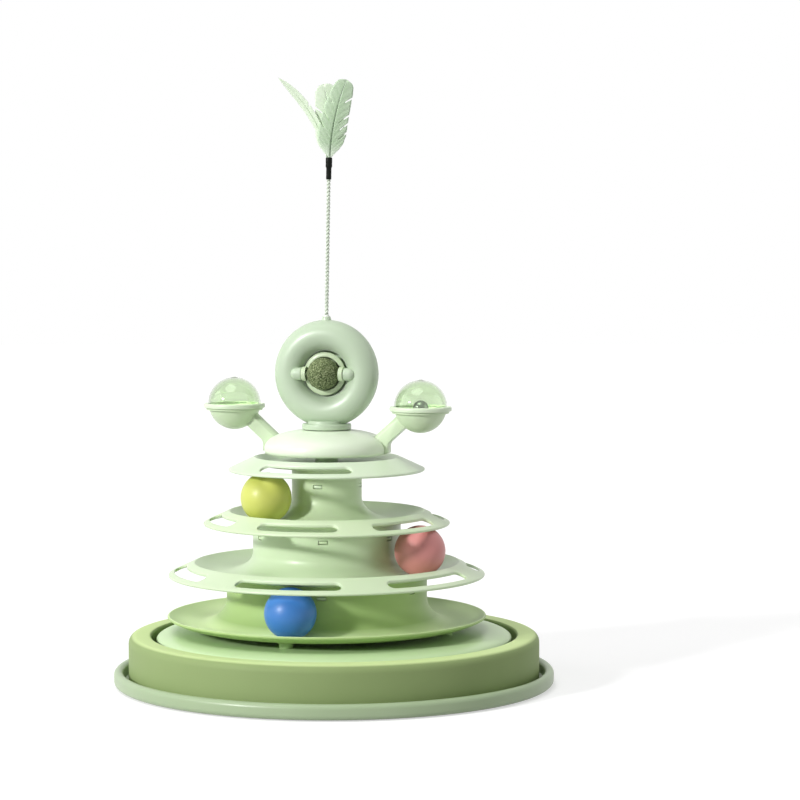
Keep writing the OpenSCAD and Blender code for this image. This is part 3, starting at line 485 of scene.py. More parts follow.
def add_brim(outline, crest_r, crest_z, rise):
    """Adds a crest and its brim to an outline, and gives the first points of both strips with the slots."""
    crest = crest_arc(crest_r, crest_z, rise)
    half = WALL / 2
    edge_z = crest_z - BRIM_W * math.tan(math.radians(BRIM_FALL)) - half
    edge = arc(crest_r + BRIM_W - half, edge_z, half, half, 90 - BRIM_FALL, -90 - BRIM_FALL, 12)
    low = crest_r + BRIM_W - SLOT_LAND - SLOT_W - PATCH_IN
    high = crest_r + BRIM_W - SLOT_LAND + PATCH_OUT
    radii = [low + (high - low) * i / PATCH_STEPS for i in range(PATCH_STEPS + 1)]
    outline += crest[:-1]
    top_start = len(outline) + 1
    outline += line_points(crest[-1], edge[0], radii)
    outline += edge[1:-1]
    low_start = len(outline) + 1
    outline += line_points(edge[-1], under_crest(crest_r, crest_z, rise, WALL), radii[::-1])
    return top_start, low_start


def slotted_lathe(outline, brim, slots, windows, soft):
    """A track's wall turned round Z, with rounded slots through its brim and windows through its column.

    brim holds the first points of the upper and the lower strip with the slots, slots the middle angle,
    straight length and middle radius of each, and windows the angles of both sides. A window lies between
    the outline's second and third point, and on the inner face between its third last and second last.
    """
    patches = []
    for middle, straight, mid_r in slots:
        reach = (straight / 2 + SLOT_W / 2 + PATCH_SIDE) / mid_r
        patches.append((middle - reach, middle + reach))
    angles = track_angles([a for sides in patches + windows for a in sides])
    count = len(angles)
    n = len(outline)
    verts = columns_of(outline, angles)

    def nearest(angle):
        """The index of the column at this angle."""
        return min(range(count), key=lambda i: abs(turn_to(angles[i], angle)))

    def span(start, end):
        """The indices of the columns from start to end, going round."""
        first = nearest(start)
        return [(first + i) % count for i in range((nearest(end) - first) % count + 1)]

    left_out = set()
    faces = []
    for sides, slot in zip(patches, slots):
        columns = span(*sides)
        left_out |= {(i, start + k) for i in columns[:-1] for start in brim for k in range(PATCH_STEPS)}
        faces += slot_patch(verts, outline, angles, columns, brim, slot, soft)
    high, low, in_low, in_high = 1, 2, n - 3, n - 2
    for sides in windows:
        columns = span(*sides)
        for i in columns[:-1]:
            left_out |= {(i, high), (i, in_low)}
            j = (i + 1) % count
            faces.append((i * n + high, i * n + in_high, j * n + in_high, j * n + high))
            faces.append((i * n + low, j * n + low, j * n + in_low, i * n + in_low))
        for i in (columns[0], columns[-1]):
            faces.append((i * n + high, i * n + low, i * n + in_low, i * n + in_high))
    return verts, faces + wall_faces(count, n, left_out)


def slot_patch(verts, outline, angles, columns, brim, slot, soft):
    """Faces of the brim round a slot, from the patch's sides to the slot's soft edge and through it."""
    middle, straight, mid_r = slot
    n = len(outline)
    top_row = [brim[0] + k for k in range(PATCH_STEPS + 1)]
    low_row = [brim[1] + PATCH_STEPS - k for k in range(PATCH_STEPS + 1)]
    ring = [(columns[0], k) for k in range(PATCH_STEPS + 1)]
    ring += [(i, PATCH_STEPS) for i in columns[1:]]
    ring += [(columns[-1], k) for k in range(PATCH_STEPS - 1, -1, -1)]
    ring += [(i, 0) for i in columns[-2:0:-1]]
    loops = [[i * n + top_row[k] for i, k in ring]]
    shape = []
    for i, k in ring:
        x = turn_to(angles[i], middle) * mid_r
        cx = max(-straight / 2, min(straight / 2, x))
        away = Vector((x - cx, outline[top_row[k]][0] - mid_r))
        shape.append((cx, away.normalized()))
    for row, way, turns in ((top_row, -1, (0, 30, 60, 90)), (low_row, 1, (90, 60, 30, 0))):
        start, end = outline[row[0]], outline[row[-1]]
        for t in turns:
            out = SLOT_W / 2 + soft * (1 - math.sin(math.radians(t)))
            drop = soft * (1 - math.cos(math.radians(t)))
            loops.append(range(len(verts), len(verts) + len(shape)))
            for cx, away in shape:
                a = middle + (cx + away.x * out) / mid_r
                r = mid_r + away.y * out
                z = start[1] + (end[1] - start[1]) * (r - start[0]) / (end[0] - start[0]) + way * drop
                verts.append((r * math.cos(a), r * math.sin(a), z))
    loops.append([i * n + low_row[k] for i, k in ring])
    faces = []
    for one, two in zip(loops, loops[1:]):
        for k in range(len(ring)):
            m = (k + 1) % len(ring)
            faces.append((one[k], one[m], two[m], two[k]))
    return faces


def slot_places(brim_r, count, degrees):
    """Middle angle, straight length and middle radius of each slot of a brim."""
    mid_r = brim_r - SLOT_LAND - SLOT_W / 2
    half = math.radians(degrees / 2) - math.asin(SLOT_W / 2 / mid_r)
    return [(a, 2 * half * mid_r, mid_r) for a in spread(count, SLOT_TURN)]


def window_sides(latch):
    """The angles of both sides of each latch window of a column."""
    col_r, _, count, turn = latch
    half = LATCH_W / 2 / col_r
    return [(a - half, a + half) for a in spread(count, turn)]


def spigot(under_z, latch):
    """The skirt of a tier that sits in the column below, with its hooks in the windows."""
    col_r, drop, count, turn = latch
    out_r = col_r - WALL - SPIGOT_GAP
    in_r = out_r - SPIGOT_WALL
    top_z = under_z + 1.1
    low_z = under_z - drop - 4
    band = lathe([(in_r, top_z), (out_r, top_z), (out_r, low_z), (in_r, low_z)], 144)
    hook = block(HOOK_SIZE, (out_r + 0.6, 0, under_z - drop), 0.4)
    hooks = [placed(hook, Matrix.Rotation(a, 4, "Z")) for a in spread(count, turn)]
    return joined(band, *hooks)


# Materials


def hex_color(code):
    """A linear colour from an sRGB hex value."""
    channels = [int(code[i : i + 2], 16) / 255 for i in (1, 3, 5)]
    return tuple(c / 12.92 if c <= 0.04045 else ((c + 0.055) / 1.055) ** 2.4 for c in channels) + (1.0,)


def per_mm(size):
    """The texture scale that makes a pattern's step this many millimetres."""
    return 1 / (size * MM)


def add_node(tree, name, kind, inputs=None, settings=None):
    """Adds a node. An input is a value, a hex colour, or a link such as "grain.Fac" to an earlier node."""
    node = tree.nodes.new("ShaderNode" + kind)
    node.name = name
    for key, value in (settings or {}).items():
        setattr(node, key, value)
    for key, value in (inputs or {}).items():
        socket = node.inputs[key]
        if not isinstance(value, str):
            socket.default_value = value
        elif value.startswith("#"):
            socket.default_value = hex_color(value)
        else:
            source, output = value.split(".")
            # The outputs of a Mix node share one name, so they go by number
            tree.links.new(tree.nodes[source].outputs[int(output) if output.isdigit() else output], socket)


def new_material(name, nodes, finish=None, surface="shader.BSDF"):
    """A material from nodes of (kind, inputs, settings) by name, and the inputs of its main shader.

    The node "place" gives the object's coordinates and normals.
    """
    material = bpy.data.materials.new(name)
    material.use_nodes = True
    tree = material.node_tree
    tree.nodes.clear()
    add_node(tree, "place", "TexCoord")
    for key, node in nodes.items():
        add_node(tree, key, *node)
    if finish:
        add_node(tree, "shader", "BsdfPrincipled", finish)
    add_node(tree, "out", "OutputMaterial", {"Surface": surface})
    return material


RGBA = {"data_type": "RGBA"}


def moulded_abs(name, color, shade, roughness=0.38, coat=0.12, top=None, shine=0.5):
    """Injection-moulded ABS: an even pale colour with a soft gloss, and a faint spark-eroded mould grain.

    The colour drifts slightly where the melt cooled at another speed. The real grain is about 0.15 mm, too
    fine to show, so it is drawn at 0.9 mm. A top colour is painted light: a paler tone on the faces that
    look up, standing in for the light that falls on them from above. A lower shine is for a satin face that
    mirrors less of the room.
    """
    nodes = {
        "drift": ("TexNoise", {"Vector": "place.Object", "Scale": per_mm(55), "Detail": 2.0}),
        "tone": ("Mix", {0: "drift.Fac", 6: color, 7: shade}, RGBA),
        "grain": ("TexNoise", {"Vector": "place.Object", "Scale": per_mm(0.9), "Detail": 3.0}),
        "gloss": (
            "MapRange",
            {"Value": "drift.Fac", "To Min": roughness - 0.04, "To Max": roughness + 0.05},
        ),
        "bump": ("Bump", {"Height": "grain.Fac", "Strength": 0.06, "Distance": 0.05 * MM}),
    }
    # Painted light: faces whose normal points up blend towards the paler top colour, as if lit from above
    if top:
        nodes["parts"] = ("SeparateXYZ", {"Vector": "place.Normal"})
        nodes["up"] = ("MapRange", {"Value": "parts.Z", "From Min": 0.75, "From Max": 0.98})
        nodes["paler"] = ("Mix", {0: "up.Result", 6: "tone.2", 7: top}, RGBA)
    finish = {
        "Base Color": "paler.2" if top else "tone.2",
        "Roughness": "gloss.Result",
        "Normal": "bump.Normal",
        "IOR": 1.53,
        "Specular IOR Level": shine,
        "Coat Weight": coat,
        "Coat Roughness": 0.22,
        "Subsurface Weight": 0.06,
        "Subsurface Radius": (0.6, 1.0, 0.5),
        "Subsurface Scale": 1.5 * MM,
    }
    return new_material(name, nodes, finish)


def clear_styrene(name):
    """Injection-moulded clear polystyrene: colourless, polished and thin, with a high index for plastic.

    A slight waviness from the mould, about 9 mm long, bends the reflections a little.
    """
    nodes = {
        "wave": ("TexNoise", {"Vector": "place.Object", "Scale": per_mm(9), "Detail": 1.0}),
        "bump": ("Bump", {"Height": "wave.Fac", "Strength": 0.04, "Distance": 0.1 * MM}),
    }
    finish = {
        "Base Color": "#E0ECD6",
        "Roughness": 0.02,
        "Normal": "bump.Normal",
        "IOR": 1.59,
        "Transmission Weight": 1.0,
    }
    return new_material(name, nodes, finish)


def blown_ball(name, color, shade):
    """Blow-moulded polyethylene ball: smooth and waxy, light goes a little way in, soft highlight.

    The skin has faint ripples about 6 mm long from the blowing.
    """
    nodes = {
        "ripple": ("TexNoise", {"Vector": "place.Object", "Scale": per_mm(6), "Detail": 2.0}),
        "drift": ("TexNoise", {"Vector": "place.Object", "Scale": per_mm(22), "Detail": 2.0}),
        "tone": ("Mix", {0: "drift.Fac", 6: color, 7: shade}, RGBA),
        "bump": ("Bump", {"Height": "ripple.Fac", "Strength": 0.08, "Distance": 0.12 * MM}),
    }
    finish = {
        "Base Color": "tone.2",
        "Roughness": 0.42,
        "Normal": "bump.Normal",
        "IOR": 1.51,
        "Subsurface Weight": 0.1,
        "Subsurface Radius": (1.0, 1.0, 1.0),
        "Subsurface Scale": 2.0 * MM,
        "Coat Weight": 0.08,
        "Coat Roughness": 0.25,
    }
    return new_material(name, nodes, finish)


def pressed_catnip(name):
    """Catnip pressed into a ball: matt crumbs of dried leaf, 1 to 2 mm across, olive with pale specks."""
    nodes = {
        "crumbs": ("TexVoronoi", {"Vector": "place.Object", "Scale": per_mm(1.5)}),
        "specks": ("TexNoise", {"Vector": "place.Object", "Scale": per_mm(1.1), "Detail": 4.0}),
        "tones": ("ValToRGB", {"Fac": "specks.Fac"}),
        # Painted shade: each crumb darkens towards its edges, in the crevices between crumbs
        "gaps": ("MapRange", {"Value": "crumbs.Distance", "From Max": 0.9, "To Min": 1.1, "To Max": 0.6}),
        "darker": ("Mix", {0: 0.8, 6: "tones.Color", 7: "gaps.Result"}, RGBA | {"blend_type": "MULTIPLY"}),
        "bump": ("Bump", {"Height": "specks.Fac", "Strength": 0.7, "Distance": 0.6 * MM}),
    }
    finish = {"Base Color": "darker.2", "Roughness": 0.92, "Normal": "bump.Normal", "IOR": 1.45}
    material = new_material(name, nodes, finish)
    stops = material.node_tree.nodes["tones"].color_ramp.elements
    stops[0].position = 0.36
    stops[1].position = 0.66
    stops.new(0.5)
    for stop, code in zip(stops, ("#3F4C2E", "#6F7E52", "#AEB98C")):
        stop.color = hex_color(code)
    return material


def chrome_plate(name):
    """Nickel-chrome plate on a pressed steel bell: a bright mirror with faint polishing waves 3 mm long."""
    nodes = {
        "wave": ("TexNoise", {"Vector": "place.Object", "Scale": per_mm(3), "Detail": 1.0}),
        "gloss": ("MapRange", {"Value": "wave.Fac", "To Min": 0.06, "To Max": 0.14}),
    }
    finish = {"Base Color": "#8E9391", "Metallic": 1.0, "Roughness": "gloss.Result"}
    return new_material(name, nodes, finish)


def zinc_plate(name):
    """Zinc-plated steel: grey, satin, with a fine turned grain drawn 0.6 mm apart."""
    nodes = {
        "grain": ("TexNoise", {"Vector": "place.Object", "Scale": per_mm(0.6), "Detail": 2.0}),
        "gloss": ("MapRange", {"Value": "grain.Fac", "To Min": 0.26, "To Max": 0.44}),
    }
    finish = {"Base Color": "#B9BCBA", "Metallic": 1.0, "Roughness": "gloss.Result"}
    return new_material(name, nodes, finish)


def soft_rubber(name, color):
    """Moulded thermoplastic rubber: matt, slightly dusty, with a fine grain drawn at 0.8 mm."""
    nodes = {
        "grain": ("TexNoise", {"Vector": "place.Object", "Scale": per_mm(0.8), "Detail": 3.0}),
        "gloss": ("MapRange", {"Value": "grain.Fac", "To Min": 0.62, "To Max": 0.8}),
        "bump": ("Bump", {"Height": "grain.Fac", "Strength": 0.15, "Distance": 0.08 * MM}),
    }
    finish = {"Base Color": color, "Roughness": "gloss.Result", "Normal": "bump.Normal", "IOR": 1.5}
    return new_material(name, nodes, finish)


def coated_wire(name):
    """Nylon-coated twisted steel wire: pale green, waxy, a little darker where dust sits in the twist."""
    nodes = {
        "dust": ("TexNoise", {"Vector": "place.Object", "Scale": per_mm(2.5), "Detail": 2.0}),
        "tone": ("Mix", {0: "dust.Fac", 6: "#DCE4D6", 7: "#CBD6C4"}, RGBA),
    }
    finish = {"Base Color": "tone.2", "Roughness": 0.5, "IOR": 1.53}
    return new_material(name, nodes, finish)


def shrink_sleeve(name):
    """Heat-shrunk polyolefin sleeve: near black, satin, with faint rings 1.2 mm apart from shrinking."""
    nodes = {
        "rings": (
            "TexWave",
            {"Vector": "place.Object", "Scale": per_mm(1.2) / 10, "Distortion": 2.0},
            {"bands_direction": "Z"},
        ),
        "bump": ("Bump", {"Height": "rings.Fac", "Strength": 0.25, "Distance": 0.1 * MM}),
        "gloss": ("MapRange", {"Value": "rings.Fac", "To Min": 0.42, "To Max": 0.56}),
    }
    finish = {"Base Color": "#070C05", "Roughness": "gloss.Result", "Normal": "bump.Normal", "IOR": 1.25}
    return new_material(name, nodes, finish)


def dyed_feather(name, color, shade, tip):
    """Dyed goose feather: soft barbs with a faint sheen, darker along the quill and paler at the tip.

    The barbs are real strips in the mesh. A streaky noise, about 2 mm long, breaks up the dye.
    """
    nodes = {
        "streaks": ("TexNoise", {"Vector": "place.Object", "Scale": per_mm(2.2), "Detail": 4.0}),
        "dye": ("Mix", {0: "streaks.Fac", 6: color, 7: shade}, RGBA),
        "vane": ("Attribute", {}, {"attribute_name": "vane"}),
        "paler": ("Mix", {0: "vane.Fac", 6: "dye.2", 7: tip}, RGBA),
    }
    finish = {
        "Base Color": "paler.2",
        "Roughness": 0.75,
        "IOR": 1.45,
        "Sheen Weight": 0.35,
        "Sheen Roughness": 0.4,
        "Subsurface Weight": 0.12,
        "Subsurface Radius": (1.0, 1.2, 0.9),
        "Subsurface Scale": 1.0 * MM,
    }
    return new_material(name, nodes, finish)


def feather_quill(name, color):
    """A feather's horny quill: smooth keratin, satin, a darker tone of the dye."""
    nodes = {
        "drift": ("TexNoise", {"Vector": "place.Object", "Scale": per_mm(6), "Detail": 2.0}),
        "gloss": ("MapRange", {"Value": "drift.Fac", "To Min": 0.4, "To Max": 0.55}),
    }
    finish = {"Base Color": color, "Roughness": "gloss.Result", "IOR": 1.54}
    return new_material(name, nodes, finish)


# Sizes and colours that a user would change


def color_choice(name, code, description):
    """A colour property with an sRGB hex default."""
    return FloatVectorProperty(
        name=name,
        description=description,
        subtype="COLOR",
        size=3,
        min=0,
        max=1,
        default=hex_color(code)[:3],
    )


def size_choice(name, value, description, low, high):
    """A length property, given in millimetres and kept in metres."""
    return FloatProperty(
        name=name,
        description=description,
        default=value * MM,
        min=low * MM,
        max=high * MM,
        precision=5,
        unit="LENGTH",
    )


def strength_choice(name, value, description):
    """The strength of a light."""
    return FloatProperty(name=name, description=description, default=value, min=0)


def hex_of(color):
    """The sRGB hex value of a linear colour property."""
    codes = []
    for c in color:
        v = c * 12.92 if c <= 0.0031308 else 1.055 * c ** (1 / 2.4) - 0.055
        codes.append(round(max(0, min(1, v)) * 255))
    return "#{:02X}{:02X}{:02X}".format(*codes)


class BaseChoices(bpy.types.PropertyGroup):
    """Sizes and colours of the tray, the ring and the platform."""

    rim_color: color_choice("Tray", "#A3B692", "Colour of the tray and its rolled rim")
    ring_color: color_choice("Ring", "#91A46F", "Colour of the ring")
    ring_shade: color_choice("Ring shade", "#899C68", "The ring's colour where it drifts")
    deck_color: color_choice("Platform", "#C4DDAB", "Colour of the platform")
    edge_round: size_choice("Lower edges", 0.6, "Rounding of the lower edges of the ring", 0.1, 1.2)


class TrackChoices(bpy.types.PropertyGroup):
    """Sizes and colours of the tiers."""

    tray_color: color_choice("Bottom tier", "#AEC885", "Colour of the bottom tier")
    lower_color: color_choice("Lower track", "#D2E2C1", "Colour of the lower track")
    middle_color: color_choice("Middle track", "#D4E4C1", "Colour of the middle track")
    top_color: color_choice("Top plate", "#DBEAD0", "Colour of the top plate")
    slot_round: size_choice("Slot edges", 0.5, "Rounding of the edges of the slots", 0.1, 0.9)


class HeadChoices(bpy.types.PropertyGroup):
    """Sizes and colours of the turning head."""

    head_color: color_choice("Head", "#E7F1DC", "Colour of the dome")
    cup_color: color_choice("Cups", "#D3E4C4", "Colour of the arms and the cups")
    donut_color: color_choice("Donut", "#C0D1B7", "Colour of the donut")
    arm_bevel: size_choice("Arm bevel", 2.6, "Bevel along the upper edges of the arms", 0.5, 3.5)
    seam: size_choice("Donut seam", 0.3, "Rounding of the seam between the donut's halves", 0.1, 0.8)


class BallChoices(bpy.types.PropertyGroup):
    """Colours of the three balls."""

    blue: color_choice("Bottom ball", "#3C80CC", "Colour of the ball on the bottom tier")
    pink: color_choice("Lower ball", "#D28B88", "Colour of the ball on the lower track")
    yellow: color_choice("Middle ball", "#D0D56C", "Colour of the ball on the middle track")


class WandChoices(bpy.types.PropertyGroup):
    """Sizes of the wand's wire and its feathers."""

    lay: size_choice("Lay", 6.0, "Length of one turn of the twisted wire", 3.0, 12.0)
    strand_r: size_choice("Strand radius", 0.86, "Radius of one strand of the wire", 0.5, 1.0)
    barbs: IntProperty(
        name="Barbs", description="Rows of barbs on each side of a feather", default=74, min=20, max=140
    )


class StudioChoices(bpy.types.PropertyGroup):
    """The lamps, the even light and the camera."""

    key: strength_choice("Key", 2.3, "Strength of the low key lamp")
    key_spread: FloatProperty(
        name="Key spread",
        description="Angle that the key lamp fills",
        default=math.radians(6),
        min=0,
        subtype="ANGLE",
    )
    overhead: strength_choice("Overhead", 1.5, "Strength of the wide light from above")
    fill: strength_choice("Fill", 0.8, "Strength of the wide light from the right")
    edge: strength_choice("Edge", 0.8, "Strength of the wide light from the left")
    sky: strength_choice("Sky", 0.15, "Strength of the even light from all sides")
    focal: FloatProperty(
        name="Lens",
        description="Focal length of the camera",
        default=121.945,
        min=20,
        subtype="DISTANCE_CAMERA",
        unit="CAMERA",
    )


# Pieces


class TOWER_OT_base(bpy.types.Operator):
    """Builds the tray with its rolled rim, the rubber pads, the ring and the platform"""

    bl_idname = "tower.base"
    bl_label = "Base"

    def execute(self, context):
        choices = context.scene.tower_base
        tray = moulded_abs("moulded ABS, pale mint, tray", hex_of(choices.rim_color), "#98AC86")
        tones = (hex_of(choices.ring_color), hex_of(choices.ring_shade))
        # The top colour #CFE3A2 is painted light: the ring's top ledge is drawn paler than its sides, as
        # where light falls on it
        ring = moulded_abs("moulded ABS, lime, ring", *tones, 0.55, 0.0, "#CFE3A2", 0.12)
        deck = moulded_abs("moulded ABS, mint, platform", hex_of(choices.deck_color), "#BAD6A0")
        pads = soft_rubber("moulded rubber, pads", "#5F6B57")
        half = RIM_W / 2
        mid_r = RIM_OUT_R - half
        in_r = mid_r - half
        outline = [(0, PAD_PROUD)]
        outline += arc(mid_r, PAD_PROUD + half, half, half, -90, 0)
        outline += arc(mid_r, PAD_PROUD + RIM_H - half, half, half, 0, 180)
        outline += [(in_r, TRAY_Z + 1.2), (in_r - 0.35, TRAY_Z + 0.35), (in_r - 1.2, TRAY_Z), (0, TRAY_Z)]
        add_piece("tray", lathe(outline, 360), BASE_PLACE, tray, "tray_plastic", "stand", "base_tray")
        pad_top = PAD_PROUD + PAD_DEPTH
        disc = lathe(rounded([(0, 0), (PAD_R, 0, 0.4), (PAD_R, pad_top), (0, pad_top)]), 48)
        discs = [placed(disc, on_circle(PAD_RING_R, 30 + 60 * i)) for i in range(6)]
        add_piece("pads", joined(*discs), BASE_PLACE, pads, "pad_rubber", "stand", "base_pads")
        in_r = RING_OUT_R - RING_W
        edge = choices.edge_round / MM
        under = RING_Z - RING_ROUND
        outline = [(RING_OUT_R, TRAY_Z, edge), (RING_OUT_R, RING_Z, RING_ROUND)]
        outline += [(in_r, RING_Z, 2.5), (in_r, TRAY_Z, edge)]
        outline += [(in_r + RING_WALL, TRAY_Z, edge), (in_r + RING_WALL, under, 1.5)]
        outline += [(RING_OUT_R - RING_WALL, under, 1.5), (RING_OUT_R - RING_WALL, TRAY_Z, edge)]
        wall = lathe(rounded(outline, 12), 360)
        add_piece("ring", wall, BASE_PLACE, ring, "ring_plastic", "stand", "base_ring")
        shoulder_r = DECK_R - DECK_SHOULDER_W
        shoulder_z = DECK_Z - DECK_SHOULDER_H
        wall_r = DECK_R - DECK_WALL
        skirt = shoulder_z - DECK_SKIRT_H
        under = DECK_Z - DECK_WALL
        outline = [(0, under), (0, DECK_Z)]
        outline += arc(shoulder_r, shoulder_z, DECK_SHOULDER_W, DECK_SHOULDER_H, 90, 0, 30)
        outline += [(DECK_R, skirt + 0.5), (DECK_R - 0.5, skirt)]
        outline += [(wall_r + 0.5, skirt), (wall_r, skirt + 0.5)]
        in_w = DECK_SHOULDER_W - DECK_WALL
        outline += arc(shoulder_r, under - DECK_SHOULDER_H, in_w, DECK_SHOULDER_H, 0, 90, 30)
        finish = (deck, "platform_plastic", "stand", "platform_disc")
        add_piece("platform", lathe(outline, 360), BASE_PLACE, *finish)
        return {"FINISHED"}


class TOWER_OT_tracks(bpy.types.Operator):
    """Builds the bottom tier, the two slotted tracks and the slotted top plate"""

    bl_idname = "tower.tracks"
    bl_label = "Tracks"

    def execute(self, context):
        choices = context.scene.tower_tracks
        tones = (hex_of(choices.tray_color), "#A4BF7B")
        # The top colour #E3F6BE is painted light: the bottom tier's faces that look up are drawn paler, as
        # where the lamps fall
        tray = moulded_abs("moulded ABS, lime mint, bottom tier", *tones, 0.45, 0.04, "#E3F6BE", 0.25)
        self.finish_tier("bottom_tier", "track_tray", tray, self.bottom_tier())
        lower = moulded_abs("moulded ABS, mint, lower track", hex_of(choices.lower_color), "#C8DBB5")
        middle = moulded_abs("moulded ABS, mint, middle track", hex_of(choices.middle_color), "#C9DCB3")
        top = moulded_abs("moulded ABS, mint, top plate", hex_of(choices.top_color), "#D2E3C4")
        soft = choices.slot_round / MM
        sizes = (LOWER_LATCH, LOWER_ORBIT_R, LOWER_FLOOR_Z, 15.0, MIDDLE_FLOOR_Z - WALL)
        part = self.slotted_track(*sizes, TRAY_LATCH, soft)
        self.finish_tier("lower_track", "track_lower", lower, part)
        sizes = (MIDDLE_LATCH, MIDDLE_ORBIT_R, MIDDLE_FLOOR_Z, 18.0, TOP_FLOOR_Z - WALL)
        part = self.slotted_track(*sizes, LOWER_LATCH, soft)
        self.finish_tier("middle_track", "track_middle", middle, part)
        self.finish_tier("top_plate", "track_top", top, self.top_plate(soft))
        return {"FINISHED"}

    def finish_tier(self, name, node, material, part):
        """A tier of the tower from its mesh."""
        add_piece(name, part, TOWER_PLACE, material, "track_plastic", "stand", node)

    def bottom_tier(self):
        """The bottom tier, whose floor ends in a rolled lip and stands on four bosses."""
        half = WALL / 2
        top_z = LOWER_FLOOR_Z - WALL
        dish = (LIP_W**2 + LIP_H**2) / (2 * LIP_H)
        rise = math.degrees(math.asin(LIP_W / dish))
        outline, under = channel_wall(TRAY_LATCH, TRAY_ORBIT_R, TRAY_FLOOR_Z, 20.0, top_z, dish, rise)
        lip_r = TRAY_ORBIT_R + LIP_W + half * math.sin(math.radians(rise))
        lip_z = TRAY_FLOOR_Z + LIP_H - half * math.cos(math.radians(rise))
        outline += arc(lip_r, lip_z, half, half, 90 + rise, rise - 90, 12)[1:] + under[1:]
        wall = slotted_lathe(outline, (), [], window_sides(TRAY_LATCH), 0)
        low = TRAY_FLOOR_Z - WALL - 1
        high = TRAY_FLOOR_Z - WALL + 1.1
        boss = lathe(rounded([(0, low), (FOOT_R + 1, low, 0.4), (FOOT_R + 1, high), (0, high)]), 40)
        return joined(wall, *[placed(boss, place) for place in FOOT_PLACES])

    def slotted_track(self, latch, orbit_r, floor_z, flare_h, top_z, latch_below, soft):
        """A track with slots in its brim, windows in its column and a skirt in the column below."""
        dish = (CHANNEL_W**2 + CREST_H**2) / (2 * CREST_H)
        rise = math.degrees(math.asin(CHANNEL_W / dish))
        # The dish ends a little before the crest, which is rounded
        outline, under = channel_wall(latch, orbit_r, floor_z, flare_h, top_z, dish, rise * 0.92)
        crest_r = orbit_r + CHANNEL_W
        brim = add_brim(outline, crest_r, floor_z + CREST_H, rise)
        slots = slot_places(crest_r + BRIM_W, count=6, degrees=42)
        wall = slotted_lathe(outline + under, brim, slots, window_sides(latch), soft)
        return joined(wall, spigot(floor_z - WALL, latch_below))

    def top_plate(self, soft):
        """The top plate: a shallow recess, a crest, a brim with two long slots and the spindle's boss."""
        rise = math.degrees(math.atan(RECESS_H / RECESS_W))
        crest_r = MIDDLE_ORBIT_R + 1
        crest_z = TOP_FLOOR_Z + RECESS_H
        recess_r = crest_r - RECESS_W
        under_z = TOP_FLOOR_Z - WALL
        outline = [(4, TOP_FLOOR_Z + 4), (9, TOP_FLOOR_Z + 4), (9, TOP_FLOOR_Z)]
        crest = crest_arc(crest_r, crest_z, rise)
        outline += rounded([(9.5, TOP_FLOOR_Z), (recess_r, TOP_FLOOR_Z, 2.0), crest[0]])[1:-1]
        brim = add_brim(outline, crest_r, crest_z, rise)
        outline += [(recess_r, under_z), (9, under_z), (9, under_z - 12), (4, under_z - 12)]
        slots = slot_places(crest_r + BRIM_W, count=2, degrees=64)
        wall = slotted_lathe(outline, brim, slots, [], soft)
        return joined(wall, spigot(under_z, MIDDLE_LATCH))


class TOWER_OT_feet(bpy.types.Operator):
    """Builds the rubber feet of the tower"""

    bl_idname = "tower.feet"
    bl_label = "Feet"

    def execute(self, context):
        rubber = soft_rubber("moulded rubber, feet", "#BBD79B")
        top_z = DECK_Z + FOOT_H
        outline = [(1.5, DECK_Z), (FOOT_R - 0.3, DECK_Z, 0.4), (FOOT_R, DECK_Z + 2.4, 0.5)]
        foot = lathe(rounded(outline + [(FOOT_R, top_z), (1.5, top_z)]), 48)
        feet = joined(*[placed(foot, place) for place in FOOT_PLACES])
        add_piece("feet", feet, TOWER_PLACE, rubber, "foot_rubber", "stand", "tower_feet")
        return {"FINISHED"}


def dome_line(thinner, steps=48):
    """The side view of the dome from its widest point to its top, thinner by this much all round."""
    points = []
    for i in range(steps):
        a = math.pi / 2 * i / steps
        r = (DOME_R - thinner) * math.cos(a) ** 0.8
        points.append((r, DOME_WIDE_Z + (DOME_H - thinner) * math.sin(a) ** 0.8))
    return points + [(0.0, DOME_WIDE_Z + DOME_H - thinner)]


class TOWER_OT_dome(bpy.types.Operator):
    """Builds the dome of the head, notched where the arms come out"""

    bl_idname = "tower.dome"
    bl_label = "Dome"

    def execute(self, context):
        color = hex_of(context.scene.tower_head.head_color)
        plastic = moulded_abs("moulded ABS, mint, head", color, "#DDEBD0")
        outline = [(DOME_R - SHELL, DOME_Z), (DOME_R - 1.6, DOME_Z)]
        outline += [(DOME_R - 0.7, DOME_Z + 0.5), (DOME_R - 0.15, DOME_Z + 1.5)]
        outline += dome_line(0) + dome_line(SHELL)[::-1]
        dome = new_object("dome", lathe(outline, 240), HEAD_PLACE)
        for turn in SIDES.values():
            cut_with(dome, new_object("notch", arm_prism(0.3), HEAD_PLACE @ turn))
        dress(dome, plastic, "head_plastic", "head", "head_dome")
        return {"FINISHED"}


def arm_outline(more):
    """The side view of an arm, from its root in the dome to its end in the bowl, larger all round."""
    c = math.cos(ARM_SLOPE)
    s = math.sin(ARM_SLOPE)
    half = ARM_H / 2 + more
    start_r = DOME_R - 4.9
    start_z = DOME_Z + 10.5
    root_r = DOME_R - 13 - more
    gap_r = DOME_R - SHELL - 0.1 - more
    foot_r = DOME_R + 2.1 + more
    foot_z = DOME_Z + 1.2 - more
    plate_z = DOME_Z + 2.8 - more
    knee_z = start_z - half * c + (foot_r - start_r - half * s) * math.tan(ARM_SLOPE)
    bend = KNEE_R * math.tan((math.pi / 2 - ARM_SLOPE) / 2)
    end_r = start_r + ARM_L * c
    end_z = start_z + ARM_L * s
    points = [(root_r, plate_z), (gap_r, plate_z), (gap_r, foot_z), (foot_r, foot_z)]
    points += arc(foot_r + KNEE_R, knee_z - bend, KNEE_R, KNEE_R, 180, 132, 8)
    points += [(end_r + half * s, end_z - half * c), (end_r - half * s, end_z + half * c)]
    points += [(start_r - half * s, start_z + half * c), (root_r, start_z - more)]
    return points


